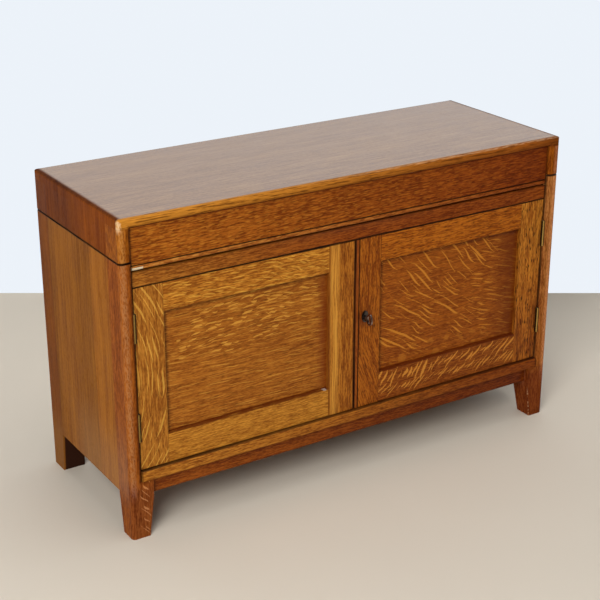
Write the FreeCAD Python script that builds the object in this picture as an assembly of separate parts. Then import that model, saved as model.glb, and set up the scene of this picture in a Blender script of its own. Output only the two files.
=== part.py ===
import FreeCAD, Part
import os

from FreeCAD import Vector

# An oak blanket chest: a box on four posts with a hinged lid and two front doors.
# Sizes are in millimetres. X runs to the right seen from the front, Y to the back, Z up.
# The origin is on the floor, under the centre of everything the chest takes up.

# Box
CHEST_WIDTH = 914.0
CHEST_DEPTH = 333.0
LID_LINE_GAP = 1.6
LID_WALL_HEIGHT = 56.0
LID_TOP_THICKNESS = 17.0
LID_TOP_FRONT_ROUND = 8.0
LID_TOP_SIDE_ROUND = 6.0

# Posts and feet
POST_WIDTH = 43.0
FRONT_POST_DEPTH = 46.0
BACK_POST_DEPTH = 47.0
POST_STRIP = 23.0
POST_ROUND = 7.0
STRIP_ROUND = 8.0
BACK_POST_ROUND = 3.0
FOOT_HEIGHT = 77.0
FRONT_TOE_WIDTH = 33.0
BACK_TOE_WIDTH = 42.0
FRONT_TOE_DEPTH = 35.0
BACK_TOE_DEPTH = 41.0
LID_LINE_EASE = 0.8

# Rails across the front
APRON_HEIGHT = 29.0
APRON_SETBACK = 10.0
NOSING_HEIGHT = 18.6
NOSING_SETBACK = 0.8
NOSING_ROUND = 3.0
TOP_RAIL_HEIGHT = 25.4

# Lid front board with its bead
LID_FRONT_THICKNESS = 20.0
LID_FRONT_GAP = 2.6
LID_FRONT_DROP = 17.2
LID_FRONT_SIDE_GAP = 0.6
LID_BEAD_HEIGHT = 8.0
LID_BEAD_ROUND = 3.5
LID_BEAD_UPPER_ROUND = 2.5
LID_QUIRK_HEIGHT = 1.8
LID_QUIRK_DEPTH = 3.0

# Side, back and floor boards
SIDE_THICKNESS = 19.0
BACK_RAIL_THICKNESS = 20.0
BACK_TOP_RAIL_HEIGHT = 45.0
BACK_BOTTOM_RAIL_HEIGHT = 56.0
BACK_PANEL_THICKNESS = 8.0
FLOOR_THICKNESS = 12.0
FLOOR_EDGE_GAP = 0.5
BEARER_SIZE = 20.0
BEARER_END_GAP = 1.0

# Joinery
TONGUE_LENGTH = 8.0
TONGUE_THICKNESS = 6.0
STUB_LENGTH = 6.0
TENON_LENGTH = 14.0
TENON_THICKNESS = 8.0
TENON_SHOULDER = 5.0
JOINT_GAP = 0.2
CHEEK_GAP = 0.1

# Doors
DOOR_HEIGHT = 328.2
DOOR_THICKNESS = 20.0
DOOR_SETBACK = 8.0
DOOR_SWEEP_GAP = 1.5
DOOR_HINGE_GAP = 1.6
DOOR_MEETING_GAP = 3.0
DOOR_STOP_GAP = 1.0
STILE_WIDTH = 54.0
DOOR_TOP_RAIL_HEIGHT = 50.0
LEFT_BOTTOM_RAIL_HEIGHT = 54.0
RIGHT_BOTTOM_RAIL_HEIGHT = 60.0
DOOR_TENON_LENGTH = 30.0
PANEL_THICKNESS = 8.0
PANEL_SETBACK = 7.0
PANEL_TONGUE = 8.0
MEETING_BEAD_WIDTH = 6.5
MEETING_BEAD_ROUND = 3.0
MEETING_QUIRK_WIDTH = 1.4
MEETING_QUIRK_DEPTH = 2.5
STOP_WIDTH = 28.0
STOP_DROP = 12.0
STOP_THICKNESS = 10.0

# Butt hinges of the doors
DOOR_HINGE_LENGTH = 50.8
DOOR_LOWER_HINGE = 206.0
DOOR_UPPER_HINGE = 386.0
DOOR_LEAF_WIDTH = 14.0
DOOR_LEAF_THICKNESS = 1.5
DOOR_KNUCKLE_RADIUS = 3.2
DOOR_PIN_RADIUS = 1.5
DOOR_PIN_OUT = 2.0

# Butt hinges of the lid
LID_HINGE_LENGTH = 64.0
LID_HINGE_SPREAD = 560.0
LID_LEAF_WIDTH = 18.0
LID_LEAF_THICKNESS = 1.6
LID_KNUCKLE_RADIUS = 3.5
LID_PIN_RADIUS = 1.6
LID_PIN_OUT = 2.2

# Fits that all the hinges share
KNUCKLES = 5
LEAF_GAP = 0.3
KNUCKLE_GAP = 0.4
KNUCKLE_CLEARANCE = 0.5
PIN_CLEARANCE = 0.05
LET_IN_GAP = 0.15

# Screws
SCREW_HEAD_RADIUS = 2.5
SCREW_SHANK_RADIUS = 1.3
SCREW_SLOT_WIDTH = 0.7
SCREW_SLOT_DEPTH = 0.5
SCREW_GAP = 0.05
LEAF_SCREW_LENGTH = 12.0
LEAF_SCREW_INSET = 8.0
PLATE_SCREW_LENGTH = 11.0
BEARER_SCREW_LENGTH = 30.0
BEARER_SCREW_HEIGHT = 5.0

# Lock, keyhole plate and key
LOCK_FROM_EDGE = 20.5
LOCK_HEIGHT = 303.0
CASE_EDGE_INSET = 1.5
CASE_WIDTH = 46.0
CASE_HEIGHT = 50.0
CASE_DEPTH = 11.0
CASE_WALL = 1.5
CASE_EAR = 10.0
CASE_EAR_INSET = 8.0
BOLT_THICKNESS = 4.0
BOLT_HEIGHT = 11.0
BOLT_LENGTH = 41.0
BOLT_BELOW_KEY = 4.0
BOLT_BACK_GAP = 1.5
BOLT_SLOT_GAP = 0.4
TALON_LEFT = 2.0
TALON_RIGHT = 2.3
TALON_DEPTH = 4.0
PLATE_WIDTH = 14.0
PLATE_TALL = 22.0
PLATE_THICKNESS = 1.4
PLATE_ABOVE_KEY = 2.0
KEYHOLE_RADIUS = 3.2
KEYHOLE_SLOT_WIDTH = 3.0
KEYHOLE_SLOT_DROP = 7.6
KEY_STEM_RADIUS = 2.2
KEY_STAND = 23.0
KEY_BOW_LENGTH = 16.0
KEY_BOW_TALL = 22.0
KEY_BOW_BAR = 3.4
KEY_BOW_THICKNESS = 3.2
KEY_COLLAR_RADIUS = 3.4
KEY_COLLAR_LENGTH = 2.2
KEY_BIT_REACH = 7.0
KEY_BIT_THICKNESS = 2.0
KEY_BIT_LENGTH = 5.0

# Bolt behind the left door
BOLT_PLATE_WIDTH = 26.0
BOLT_PLATE_HEIGHT = 54.0
BOLT_PLATE_THICKNESS = 1.5
BOLT_PLATE_BELOW_TOP = 12.0
BOLT_FROM_EDGE = 27.0
BARREL_RADIUS = 3.0
BARREL_ABOVE_PLATE = 0.6
BARREL_LENGTH = 56.0
BARREL_BELOW_TOP = 4.0
BARREL_CLEARANCE = 0.08
GUIDE_WALL = 2.0
GUIDE_LENGTH = 9.0
KNOB_RADIUS = 3.4
KNOB_STEM_RADIUS = 1.5
KNOB_STEM_LENGTH = 3.0
KNOB_LENGTH = 5.0
KNOB_REST_GAP = 0.3
PLATE_SCREW_EDGE = 4.5

# Heights of the stack up the front
APRON_TOP = FOOT_HEIGHT + APRON_HEIGHT
NOSING_TOP = APRON_TOP + NOSING_HEIGHT
DOOR_BOTTOM = NOSING_TOP + DOOR_SWEEP_GAP
DOOR_TOP = DOOR_BOTTOM + DOOR_HEIGHT
RAIL_BOTTOM = DOOR_TOP + DOOR_SWEEP_GAP
RAIL_TOP = RAIL_BOTTOM + TOP_RAIL_HEIGHT
LID_FRONT_BOTTOM = RAIL_TOP + LID_FRONT_GAP
BODY_TOP = LID_FRONT_BOTTOM + LID_FRONT_DROP
LID_BOTTOM = BODY_TOP + LID_LINE_GAP
LID_BOARD = LID_BOTTOM + LID_WALL_HEIGHT
CHEST_TOP = LID_BOARD + LID_TOP_THICKNESS
FLOOR_BOTTOM = NOSING_TOP - FLOOR_THICKNESS

# Places from left to right
SIDE_X = CHEST_WIDTH / 2
SIDE_IN = SIDE_X - SIDE_THICKNESS
STRIP_IN = SIDE_X - POST_STRIP
POST_IN = SIDE_X - POST_WIDTH
DOOR_OUT = STRIP_IN - DOOR_HINGE_GAP
DOOR_IN = DOOR_MEETING_GAP / 2
STILE_IN = DOOR_OUT - STILE_WIDTH
MEETING_IN = DOOR_IN + STILE_WIDTH
DOOR_PIN_X = STRIP_IN - DOOR_HINGE_GAP / 2
LOCK_X = DOOR_IN + LOCK_FROM_EDGE
CASE_LEFT = DOOR_IN + CASE_EDGE_INSET

# Places from front to back: the key stands out in front, the lid's knuckles behind
FRONT_Y = (KEY_STAND - DOOR_SETBACK - LID_PIN_OUT - LID_KNUCKLE_RADIUS - CHEST_DEPTH) / 2
BACK_Y = FRONT_Y + CHEST_DEPTH
DOOR_FRONT = FRONT_Y + DOOR_SETBACK
DOOR_BACK = DOOR_FRONT + DOOR_THICKNESS
REBATE_BACK = DOOR_BACK + DOOR_STOP_GAP
LID_FRONT_BACK = DOOR_FRONT + LID_FRONT_THICKNESS
FRONT_POST_BACK = FRONT_Y + FRONT_POST_DEPTH
BACK_POST_FRONT = BACK_Y - BACK_POST_DEPTH
BACK_RAIL_FRONT = BACK_Y - BACK_RAIL_THICKNESS
PANEL_FRONT = DOOR_FRONT + PANEL_SETBACK
PANEL_BACK = PANEL_FRONT + PANEL_THICKNESS
DOOR_PIN_Y = DOOR_FRONT - DOOR_PIN_OUT
LID_PIN_Y = BACK_Y + LID_PIN_OUT
LID_PIN_Z = BODY_TOP + LID_LINE_GAP / 2

# How far a cutting shape runs past the wood
PAST = 2.0


# Shapes that the pieces are made from

def block(x0, x1, y0, y1, z0, z1):
    return Part.makeBox(x1 - x0, y1 - y0, z1 - z0, Vector(x0, y0, z0))


def rod(start, direction, length, radius):
    return Part.makeCylinder(radius, length, start, direction)


def prism(corners, sweep):
    face = Part.Face(Part.makePolygon(corners + corners[:1]))
    return face.extrude(sweep)


def mirrored(shape):
    return shape.mirror(Vector(0, 0, 0), Vector(1, 0, 0))


def joined(shapes):
    return shapes[0].multiFuse(shapes[1:]).removeSplitter()


def group(shapes):
    return Part.makeCompound(shapes)


def on_line(edge, x, y, z):
    for vertex in edge.Vertexes:
        for wanted, found in ((x, vertex.X), (y, vertex.Y), (z, vertex.Z)):
            if wanted is not None and abs(wanted - found) > 0.001:
                return False
    return True


def rounded(shape, radius, x=None, y=None, z=None):
    return shape.makeFillet(radius, [edge for edge in shape.Edges if on_line(edge, x, y, z)])


def ellipse_disc(centre, tall, wide, sweep, wide_direction):
    # A flat oval, tall along Z and wide along the given direction.
    if tall >= wide:
        curve = Part.Ellipse(centre + Vector(0, 0, tall / 2), centre + wide_direction * (wide / 2), centre)
    else:
        curve = Part.Ellipse(centre + wide_direction * (wide / 2), centre + Vector(0, 0, tall / 2), centre)
    return Part.Face(Part.Wire(curve.toShape())).extrude(sweep)


# Screws and butt hinges

def wood_screw(head, direction, length):
    # A slotted countersunk screw whose flat head starts at the given point.
    sink = SCREW_HEAD_RADIUS - SCREW_SHANK_RADIUS
    cone = Part.makeCone(SCREW_HEAD_RADIUS, SCREW_SHANK_RADIUS, sink, head, direction)
    shank = rod(head, direction, length, SCREW_SHANK_RADIUS)
    slot = Part.makeBox(2 * SCREW_HEAD_RADIUS + PAST, SCREW_SLOT_WIDTH, 2 * SCREW_SLOT_DEPTH)
    slot.translate(Vector(-SCREW_HEAD_RADIUS - PAST / 2, -SCREW_SLOT_WIDTH / 2, -SCREW_SLOT_DEPTH))
    slot.Placement = FreeCAD.Placement(head, FreeCAD.Rotation(Vector(0, 0, 1), direction)) * slot.Placement
    return joined([cone, shank]).cut(slot)


def screw_hole(head, direction, length):
    sink = SCREW_HEAD_RADIUS - SCREW_SHANK_RADIUS
    wide = SCREW_HEAD_RADIUS + SCREW_GAP
    narrow = SCREW_SHANK_RADIUS + SCREW_GAP
    cone = Part.makeCone(wide, narrow, sink, head, direction)
    mouth = rod(head - direction * PAST, direction, PAST, wide)
    return joined([mouth, cone, rod(head, direction, length + SCREW_GAP, narrow)])


class ButtHinge:
    # The pin runs along Z from the origin; both leaves lie along +Y, one on each side of X = 0.

    def __init__(self, length, leaf_width, leaf_thickness, knuckle_radius, pin_radius):
        self.length = length
        self.leaf_width = leaf_width
        self.leaf_thickness = leaf_thickness
        self.knuckle_radius = knuckle_radius
        self.pin_radius = pin_radius
        self.back = LEAF_GAP / 2 + leaf_thickness
        self.screw_y = (knuckle_radius + KNUCKLE_CLEARANCE + leaf_width) / 2

    def knuckle_span(self, index):
        pitch = self.length / KNUCKLES
        low = index * pitch + (KNUCKLE_GAP / 2 if index else 0)
        high = (index + 1) * pitch - (KNUCKLE_GAP / 2 if index < KNUCKLES - 1 else 0)
        return low, high

    def screw_heights(self):
        return [LEAF_SCREW_INSET, self.length / 2, self.length - LEAF_SCREW_INSET]

    def screw_starts(self):
        return [Vector(LEAF_GAP / 2, self.screw_y, height) for height in self.screw_heights()]

    def leaf(self, first_knuckle):
        clear = self.knuckle_radius + KNUCKLE_CLEARANCE
        pieces = [block(LEAF_GAP / 2, self.back, clear, self.leaf_width, 0, self.length)]
        for index in range(first_knuckle, KNUCKLES, 2):
            low, high = self.knuckle_span(index)
            pieces.append(block(LEAF_GAP / 2, self.back, 0, clear, low, high))
            pieces.append(rod(Vector(0, 0, low), Vector(0, 0, 1), high - low, self.knuckle_radius))
        leaf = joined(pieces)
        bore_radius = self.pin_radius + PIN_CLEARANCE
        leaf = leaf.cut(rod(Vector(0, 0, -PAST), Vector(0, 0, 1), self.length + 2 * PAST, bore_radius))
        for start in self.screw_starts():
            leaf = leaf.cut(screw_hole(start, Vector(1, 0, 0), LEAF_SCREW_LENGTH))
        return leaf

    def screws(self):
        return [wood_screw(start, Vector(1, 0, 0), LEAF_SCREW_LENGTH) for start in self.screw_starts()]

    def pin(self):
        return rod(Vector(0, 0, 0), Vector(0, 0, 1), self.length, self.pin_radius)

    def bed(self):
        # What is cut from the wood behind one leaf.
        low, high = -LET_IN_GAP, self.length + LET_IN_GAP
        let_in = block(-PAST, self.back, 0, self.leaf_width + LET_IN_GAP, low, high)
        hollow_radius = self.knuckle_radius + KNUCKLE_CLEARANCE
        hollow = rod(Vector(0, 0, low), Vector(0, 0, 1), high - low, hollow_radius)
        holes = [screw_hole(start, Vector(1, 0, 0), LEAF_SCREW_LENGTH) for start in self.screw_starts()]
        return joined([let_in, hollow] + holes)


DOOR_HINGE = ButtHinge(DOOR_HINGE_LENGTH, DOOR_LEAF_WIDTH, DOOR_LEAF_THICKNESS,
                       DOOR_KNUCKLE_RADIUS, DOOR_PIN_RADIUS)
LID_HINGE = ButtHinge(LID_HINGE_LENGTH, LID_LEAF_WIDTH, LID_LEAF_THICKNESS,
                      LID_KNUCKLE_RADIUS, LID_PIN_RADIUS)


def at_door_hinges(shape):
    # Copies of a hinge shape at the right door's two hinges.
    copies = []
    for middle in (DOOR_LOWER_HINGE, DOOR_UPPER_HINGE):
        copy = shape.copy()
        copy.translate(Vector(DOOR_PIN_X, DOOR_PIN_Y, middle - DOOR_HINGE_LENGTH / 2))
        copies.append(copy)
    return copies


def at_lid_hinges(shape):
    # Copies of a hinge shape turned so that the pin runs along X and the leaves lie towards the front.
    copies = []
    for middle in (-LID_HINGE_SPREAD / 2, LID_HINGE_SPREAD / 2):
        place = FreeCAD.Matrix(0, 0, 1, middle - LID_HINGE_LENGTH / 2, 0, -1, 0, LID_PIN_Y,
                               1, 0, 0, LID_PIN_Z, 0, 0, 0, 1)
        copies.append(shape.transformed(place, copy=True))
    return copies


def cut_all(shape, tools):
    for tool in tools:
        shape = shape.cut(tool)
    return shape


# Joints between the boards

def tongue_x():
    middle = SIDE_X - SIDE_THICKNESS / 2
    return middle - TONGUE_THICKNESS / 2, middle + TONGUE_THICKNESS / 2


def side_groove(y0, y1, z0, z1):
    low, high = tongue_x()
    return block(low - CHEEK_GAP, high + CHEEK_GAP, y0, y1, z0, z1)


def end_tenon(shoulder, length, y0, y1, z0, z1, gap=0.0):
    # A tenon at the right end of a cross rail, or its mortise when a gap is given.
    cheek = CHEEK_GAP if gap else 0.0
    low_y = (y0 + y1 - TENON_THICKNESS) / 2
    return block(shoulder - PAST, shoulder + length + gap, low_y - cheek, low_y + TENON_THICKNESS + cheek,
                 z0 + TENON_SHOULDER - cheek, z1 - TENON_SHOULDER + cheek)


def cross_rail(shoulder, tenon_length, y0, y1, z0, z1):
    tenon = end_tenon(shoulder, tenon_length, y0, y1, z0, z1)
    return joined([block(-shoulder, shoulder, y0, y1, z0, z1), tenon, mirrored(tenon)])


# Cross rails: shoulder, tenon length, front, back, underside and top

APRON = (POST_IN, TENON_LENGTH, FRONT_Y + APRON_SETBACK, REBATE_BACK, FOOT_HEIGHT, APRON_TOP)
NOSING = (STRIP_IN, STUB_LENGTH, FRONT_Y + NOSING_SETBACK, REBATE_BACK, APRON_TOP, NOSING_TOP)
TOP_RAIL = (STRIP_IN, STUB_LENGTH, DOOR_FRONT, REBATE_BACK, RAIL_BOTTOM, RAIL_TOP)
BACK_TOP = (POST_IN, TENON_LENGTH, BACK_RAIL_FRONT, BACK_Y, BODY_TOP - BACK_TOP_RAIL_HEIGHT, BODY_TOP)
BACK_BOTTOM = (POST_IN, TENON_LENGTH, BACK_RAIL_FRONT, BACK_Y, FOOT_HEIGHT,
               FOOT_HEIGHT + BACK_BOTTOM_RAIL_HEIGHT)
LID_BACK = (POST_IN, TENON_LENGTH, BACK_RAIL_FRONT, BACK_Y, LID_BOTTOM, LID_BOARD)


def mortise(rail):
    return end_tenon(*rail, gap=JOINT_GAP)


# Posts

def tapered_foot(post, toe_width, inner_y, toe_y, beyond_y):
    # Tapers the foot on its two inner faces.
    toe_x = SIDE_X - toe_width
    past_x = POST_IN - PAST
    low_y, high_y = FRONT_Y - PAST, BACK_Y + PAST
    side_cut = prism([Vector(POST_IN, low_y, FOOT_HEIGHT), Vector(toe_x, low_y, 0), Vector(past_x, low_y, 0),
                      Vector(past_x, low_y, FOOT_HEIGHT)], Vector(0, high_y - low_y, 0))
    back_cut = prism([Vector(past_x, inner_y, FOOT_HEIGHT), Vector(past_x, toe_y, 0),
                      Vector(past_x, beyond_y, 0), Vector(past_x, beyond_y, FOOT_HEIGHT)],
                     Vector(POST_WIDTH + 2 * PAST, 0, 0))
    return post.cut(side_cut).cut(back_cut)


def front_post_blank(z0, z1, rebate_from, rebate_back):
    post = block(POST_IN, SIDE_X, FRONT_Y, FRONT_POST_BACK, z0, z1)
    post = rounded(post, POST_ROUND, x=SIDE_X, y=FRONT_Y)
    post = post.cut(block(POST_IN - PAST, STRIP_IN, FRONT_Y - PAST, rebate_back, rebate_from, z1 + PAST))
    return rounded(post, STRIP_ROUND, x=STRIP_IN, y=FRONT_Y)


def back_post_blank(z0, z1):
    post = block(POST_IN, SIDE_X, BACK_POST_FRONT, BACK_Y, z0, z1)
    return rounded(post, BACK_POST_ROUND, x=SIDE_X, y=BACK_Y)


def eased_at_lid_line(post, z):
    # Softens the outer arrises where the lid is sawn from the body.
    outer = []
    for edge in post.Edges:
        points = [vertex.Point for vertex in edge.Vertexes]
        level = all(abs(point.z - z) < 0.001 for point in points)
        on_side = all(abs(point.x - SIDE_X) < 0.001 for point in points)
        if level and on_side:
            outer.append(edge)
    return post.makeFillet(LID_LINE_EASE, outer)


def front_post():
    post = front_post_blank(0, BODY_TOP, APRON_TOP, REBATE_BACK)
    toe_y = FRONT_Y + FRONT_TOE_DEPTH
    post = tapered_foot(post, FRONT_TOE_WIDTH, FRONT_POST_BACK, toe_y, FRONT_POST_BACK + PAST)
    post = eased_at_lid_line(post, BODY_TOP)
    groove_end = FRONT_POST_BACK - TONGUE_LENGTH - JOINT_GAP
    post = post.cut(side_groove(groove_end, FRONT_POST_BACK + PAST, FOOT_HEIGHT, BODY_TOP + PAST))
    post = cut_all(post, [mortise(APRON), mortise(NOSING), mortise(TOP_RAIL)])
    return cut_all(post, at_door_hinges(DOOR_HINGE.bed()))


def back_post():
    post = back_post_blank(0, BODY_TOP)
    toe_y = BACK_Y - BACK_TOE_DEPTH
    post = tapered_foot(post, BACK_TOE_WIDTH, BACK_POST_FRONT, toe_y, BACK_POST_FRONT - PAST)
    post = eased_at_lid_line(post, BODY_TOP)
    groove_end = BACK_POST_FRONT + TONGUE_LENGTH + JOINT_GAP
    post = post.cut(side_groove(BACK_POST_FRONT - PAST, groove_end, FOOT_HEIGHT, BODY_TOP + PAST))
    low_y, high_y = back_panel_span()
    panel_groove = block(POST_IN - PAST, POST_IN + TONGUE_LENGTH + JOINT_GAP, low_y - CHEEK_GAP,
                         high_y + CHEEK_GAP, BACK_BOTTOM[5] - TONGUE_LENGTH - JOINT_GAP,
                         BACK_TOP[4] + TONGUE_LENGTH + JOINT_GAP)
    return cut_all(post, [panel_groove, mortise(BACK_TOP), mortise(BACK_BOTTOM)])


def lid_front_post():
    post = front_post_blank(LID_BOTTOM, LID_BOARD, LID_BOTTOM, LID_FRONT_BACK)
    post = eased_at_lid_line(post, LID_BOTTOM)
    groove_end = FRONT_POST_BACK - TONGUE_LENGTH - JOINT_GAP
    return post.cut(side_groove(groove_end, FRONT_POST_BACK + PAST, LID_BOTTOM - PAST, LID_BOARD + PAST))


def lid_back_post():
    post = back_post_blank(LID_BOTTOM, LID_BOARD)
    post = eased_at_lid_line(post, LID_BOTTOM)
    groove_end = BACK_POST_FRONT + TONGUE_LENGTH + JOINT_GAP
    post = post.cut(side_groove(BACK_POST_FRONT - PAST, groove_end, LID_BOTTOM - PAST, LID_BOARD + PAST))
    return post.cut(mortise(LID_BACK))


# Boards of the body

def side_board(z0, z1, line_z):
    board = block(SIDE_IN, SIDE_X, FRONT_POST_BACK, BACK_POST_FRONT, z0, z1)
    board = rounded(board, LID_LINE_EASE, x=SIDE_X, z=line_z)
    low, high = tongue_x()
    front_y, back_y = FRONT_POST_BACK - TONGUE_LENGTH, BACK_POST_FRONT + TONGUE_LENGTH
    return joined([board, block(low, high, front_y, back_y, z0, z1)])


def front_nosing():
    rail = cross_rail(*NOSING)
    return rounded(rail, NOSING_ROUND, y=NOSING[2], z=NOSING_TOP)


def back_panel_span():
    middle = (BACK_RAIL_FRONT + BACK_Y) / 2
    return middle - BACK_PANEL_THICKNESS / 2, middle + BACK_PANEL_THICKNESS / 2


def back_panel():
    low_y, high_y = back_panel_span()
    half = POST_IN + TONGUE_LENGTH
    return block(-half, half, low_y, high_y, BACK_BOTTOM[5] - TONGUE_LENGTH, BACK_TOP[4] + TONGUE_LENGTH)


def back_rail_groove(z0, z1):
    low_y, high_y = back_panel_span()
    half = POST_IN + TONGUE_LENGTH + JOINT_GAP
    return block(-half, half, low_y - CHEEK_GAP, high_y + CHEEK_GAP, z0, z1)


def back_top_rail():
    low = BACK_TOP[4]
    rail = cross_rail(*BACK_TOP)
    rail = rail.cut(back_rail_groove(low - PAST, low + TONGUE_LENGTH + JOINT_GAP))
    return cut_all(rail, at_lid_hinges(mirrored(LID_HINGE.bed())))


def back_bottom_rail():
    high = BACK_BOTTOM[5]
    rail = cross_rail(*BACK_BOTTOM)
    rail = rail.cut(back_rail_groove(high - TONGUE_LENGTH - JOINT_GAP, high + PAST))
    return cut_all(rail, back_bearer_screws(screw_hole))


def floor_board():
    edge = SIDE_IN - FLOOR_EDGE_GAP
    front, back = REBATE_BACK, BACK_RAIL_FRONT - FLOOR_EDGE_GAP
    board = block(-edge, edge, front, back, FLOOR_BOTTOM, NOSING_TOP)
    notch_x = POST_IN - FLOOR_EDGE_GAP
    low_z, high_z = FLOOR_BOTTOM - PAST, NOSING_TOP + PAST
    front_notch = block(notch_x, SIDE_X, front - PAST, FRONT_POST_BACK + FLOOR_EDGE_GAP, low_z, high_z)
    back_notch = block(notch_x, SIDE_X, BACK_POST_FRONT - FLOOR_EDGE_GAP, BACK_Y, low_z, high_z)
    return cut_all(board, [front_notch, back_notch, mirrored(front_notch), mirrored(back_notch)])


# Bearers under the floor, with the screws that hold them

BEARER_Z = FLOOR_BOTTOM - BEARER_SIZE + BEARER_SCREW_HEIGHT
BEARER_HALF = POST_IN - BEARER_END_GAP
BEARER_FRONT = FRONT_POST_BACK + BEARER_END_GAP
BEARER_BACK = BACK_POST_FRONT - BEARER_END_GAP


def thirds(low, high):
    # The middles of three equal lengths.
    return [low + (high - low) * share for share in (1 / 6, 1 / 2, 5 / 6)]


def side_bearer_screws(maker):
    return [maker(Vector(SIDE_IN - BEARER_SIZE, y, BEARER_Z), Vector(1, 0, 0), BEARER_SCREW_LENGTH)
            for y in thirds(BEARER_FRONT, BEARER_BACK)]


def front_bearer_screws(maker):
    return [maker(Vector(x, REBATE_BACK + BEARER_SIZE, BEARER_Z), Vector(0, -1, 0), BEARER_SCREW_LENGTH)
            for x in thirds(-BEARER_HALF, BEARER_HALF)]


def back_bearer_screws(maker):
    return [maker(Vector(x, BACK_RAIL_FRONT - BEARER_SIZE, BEARER_Z), Vector(0, 1, 0), BEARER_SCREW_LENGTH)
            for x in thirds(-BEARER_HALF, BEARER_HALF)]


def side_bearer():
    bearer = block(SIDE_IN - BEARER_SIZE, SIDE_IN, BEARER_FRONT, BEARER_BACK,
                   FLOOR_BOTTOM - BEARER_SIZE, FLOOR_BOTTOM)
    return cut_all(bearer, side_bearer_screws(screw_hole))


def front_bearer():
    bearer = block(-BEARER_HALF, BEARER_HALF, REBATE_BACK, REBATE_BACK + BEARER_SIZE,
                   FLOOR_BOTTOM - BEARER_SIZE, FLOOR_BOTTOM)
    return cut_all(bearer, front_bearer_screws(screw_hole))


def back_bearer():
    bearer = block(-BEARER_HALF, BEARER_HALF, BACK_RAIL_FRONT - BEARER_SIZE, BACK_RAIL_FRONT,
                   FLOOR_BOTTOM - BEARER_SIZE, FLOOR_BOTTOM)
    return cut_all(bearer, back_bearer_screws(screw_hole))


def bearer_screws():
    side = side_bearer_screws(wood_screw)
    return group(side + [mirrored(screw) for screw in side] + front_bearer_screws(wood_screw)
                 + back_bearer_screws(wood_screw))


def door_stop():
    return block(-STOP_WIDTH / 2, STOP_WIDTH / 2, REBATE_BACK, REBATE_BACK + STOP_THICKNESS,
                 RAIL_BOTTOM - STOP_DROP, RAIL_TOP)


# Lid

def lid_top_underside():
    # What is taken off below the front edge: its round runs into the post strips' rounds in mitres.
    low_z = LID_BOARD - PAST
    round_x, round_y, round_z = STRIP_IN + STRIP_ROUND, FRONT_Y + STRIP_ROUND, LID_BOARD + STRIP_ROUND
    between = block(-STRIP_IN, STRIP_IN, FRONT_Y - PAST, round_y, low_z, round_z)
    corner = block(STRIP_IN, round_x, FRONT_Y - PAST, round_y, low_z, round_z)
    strip = rod(Vector(round_x, round_y, low_z), Vector(0, 0, 1), STRIP_ROUND + PAST, STRIP_ROUND)
    edge = rod(Vector(-round_x, round_y, round_z), Vector(1, 0, 0), 2 * round_x, STRIP_ROUND)
    mitre = corner.cut(strip).cut(edge)
    return [between.cut(edge), mitre, mirrored(mitre)]


def lid_top():
    # Three sections crossed with one another, so the front round meets the post rounds in a mitre.
    plan = block(-SIDE_X, SIDE_X, FRONT_Y, BACK_Y, LID_BOARD, CHEST_TOP)
    plan = rounded(plan, POST_ROUND, x=SIDE_X, y=FRONT_Y)
    plan = rounded(plan, POST_ROUND, x=-SIDE_X, y=FRONT_Y)
    plan = rounded(plan, BACK_POST_ROUND, x=SIDE_X, y=BACK_Y)
    plan = rounded(plan, BACK_POST_ROUND, x=-SIDE_X, y=BACK_Y)
    end = block(-SIDE_X, SIDE_X, FRONT_Y, BACK_Y, LID_BOARD, CHEST_TOP)
    end = rounded(end, LID_TOP_FRONT_ROUND, y=FRONT_Y, z=CHEST_TOP)
    end = rounded(end, LID_TOP_SIDE_ROUND, y=BACK_Y, z=CHEST_TOP)
    front = block(-SIDE_X, SIDE_X, FRONT_Y, BACK_Y, LID_BOARD, CHEST_TOP)
    front = rounded(front, LID_TOP_SIDE_ROUND, x=SIDE_X, z=CHEST_TOP)
    front = rounded(front, LID_TOP_SIDE_ROUND, x=-SIDE_X, z=CHEST_TOP)
    return cut_all(plan.common(end).common(front), lid_top_underside())


def lid_front():
    half = STRIP_IN - LID_FRONT_SIDE_GAP
    board = block(-half, half, DOOR_FRONT, LID_FRONT_BACK, LID_FRONT_BOTTOM, LID_BOARD)
    bead_top = LID_FRONT_BOTTOM + LID_BEAD_HEIGHT
    quirk = block(-half - PAST, half + PAST, DOOR_FRONT - PAST, DOOR_FRONT + LID_QUIRK_DEPTH,
                  bead_top, bead_top + LID_QUIRK_HEIGHT)
    board = rounded(board, LID_BEAD_ROUND, y=DOOR_FRONT, z=LID_FRONT_BOTTOM)
    return rounded(board.cut(quirk), LID_BEAD_UPPER_ROUND, y=DOOR_FRONT, z=bead_top)


def lid_back():
    return cut_all(cross_rail(*LID_BACK), at_lid_hinges(LID_HINGE.bed()))


# Doors, drawn on the right: the left one is mirrored when it is named

OPEN_TOP = DOOR_TOP - DOOR_TOP_RAIL_HEIGHT
TONGUE_REACH = PANEL_TONGUE + JOINT_GAP
TENON_FROM_GROOVE = PANEL_TONGUE + TENON_SHOULDER / 2


def panel_groove(x0, x1, z0, z1):
    return block(x0, x1, PANEL_FRONT - CHEEK_GAP, PANEL_BACK + CHEEK_GAP, z0, z1)


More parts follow.
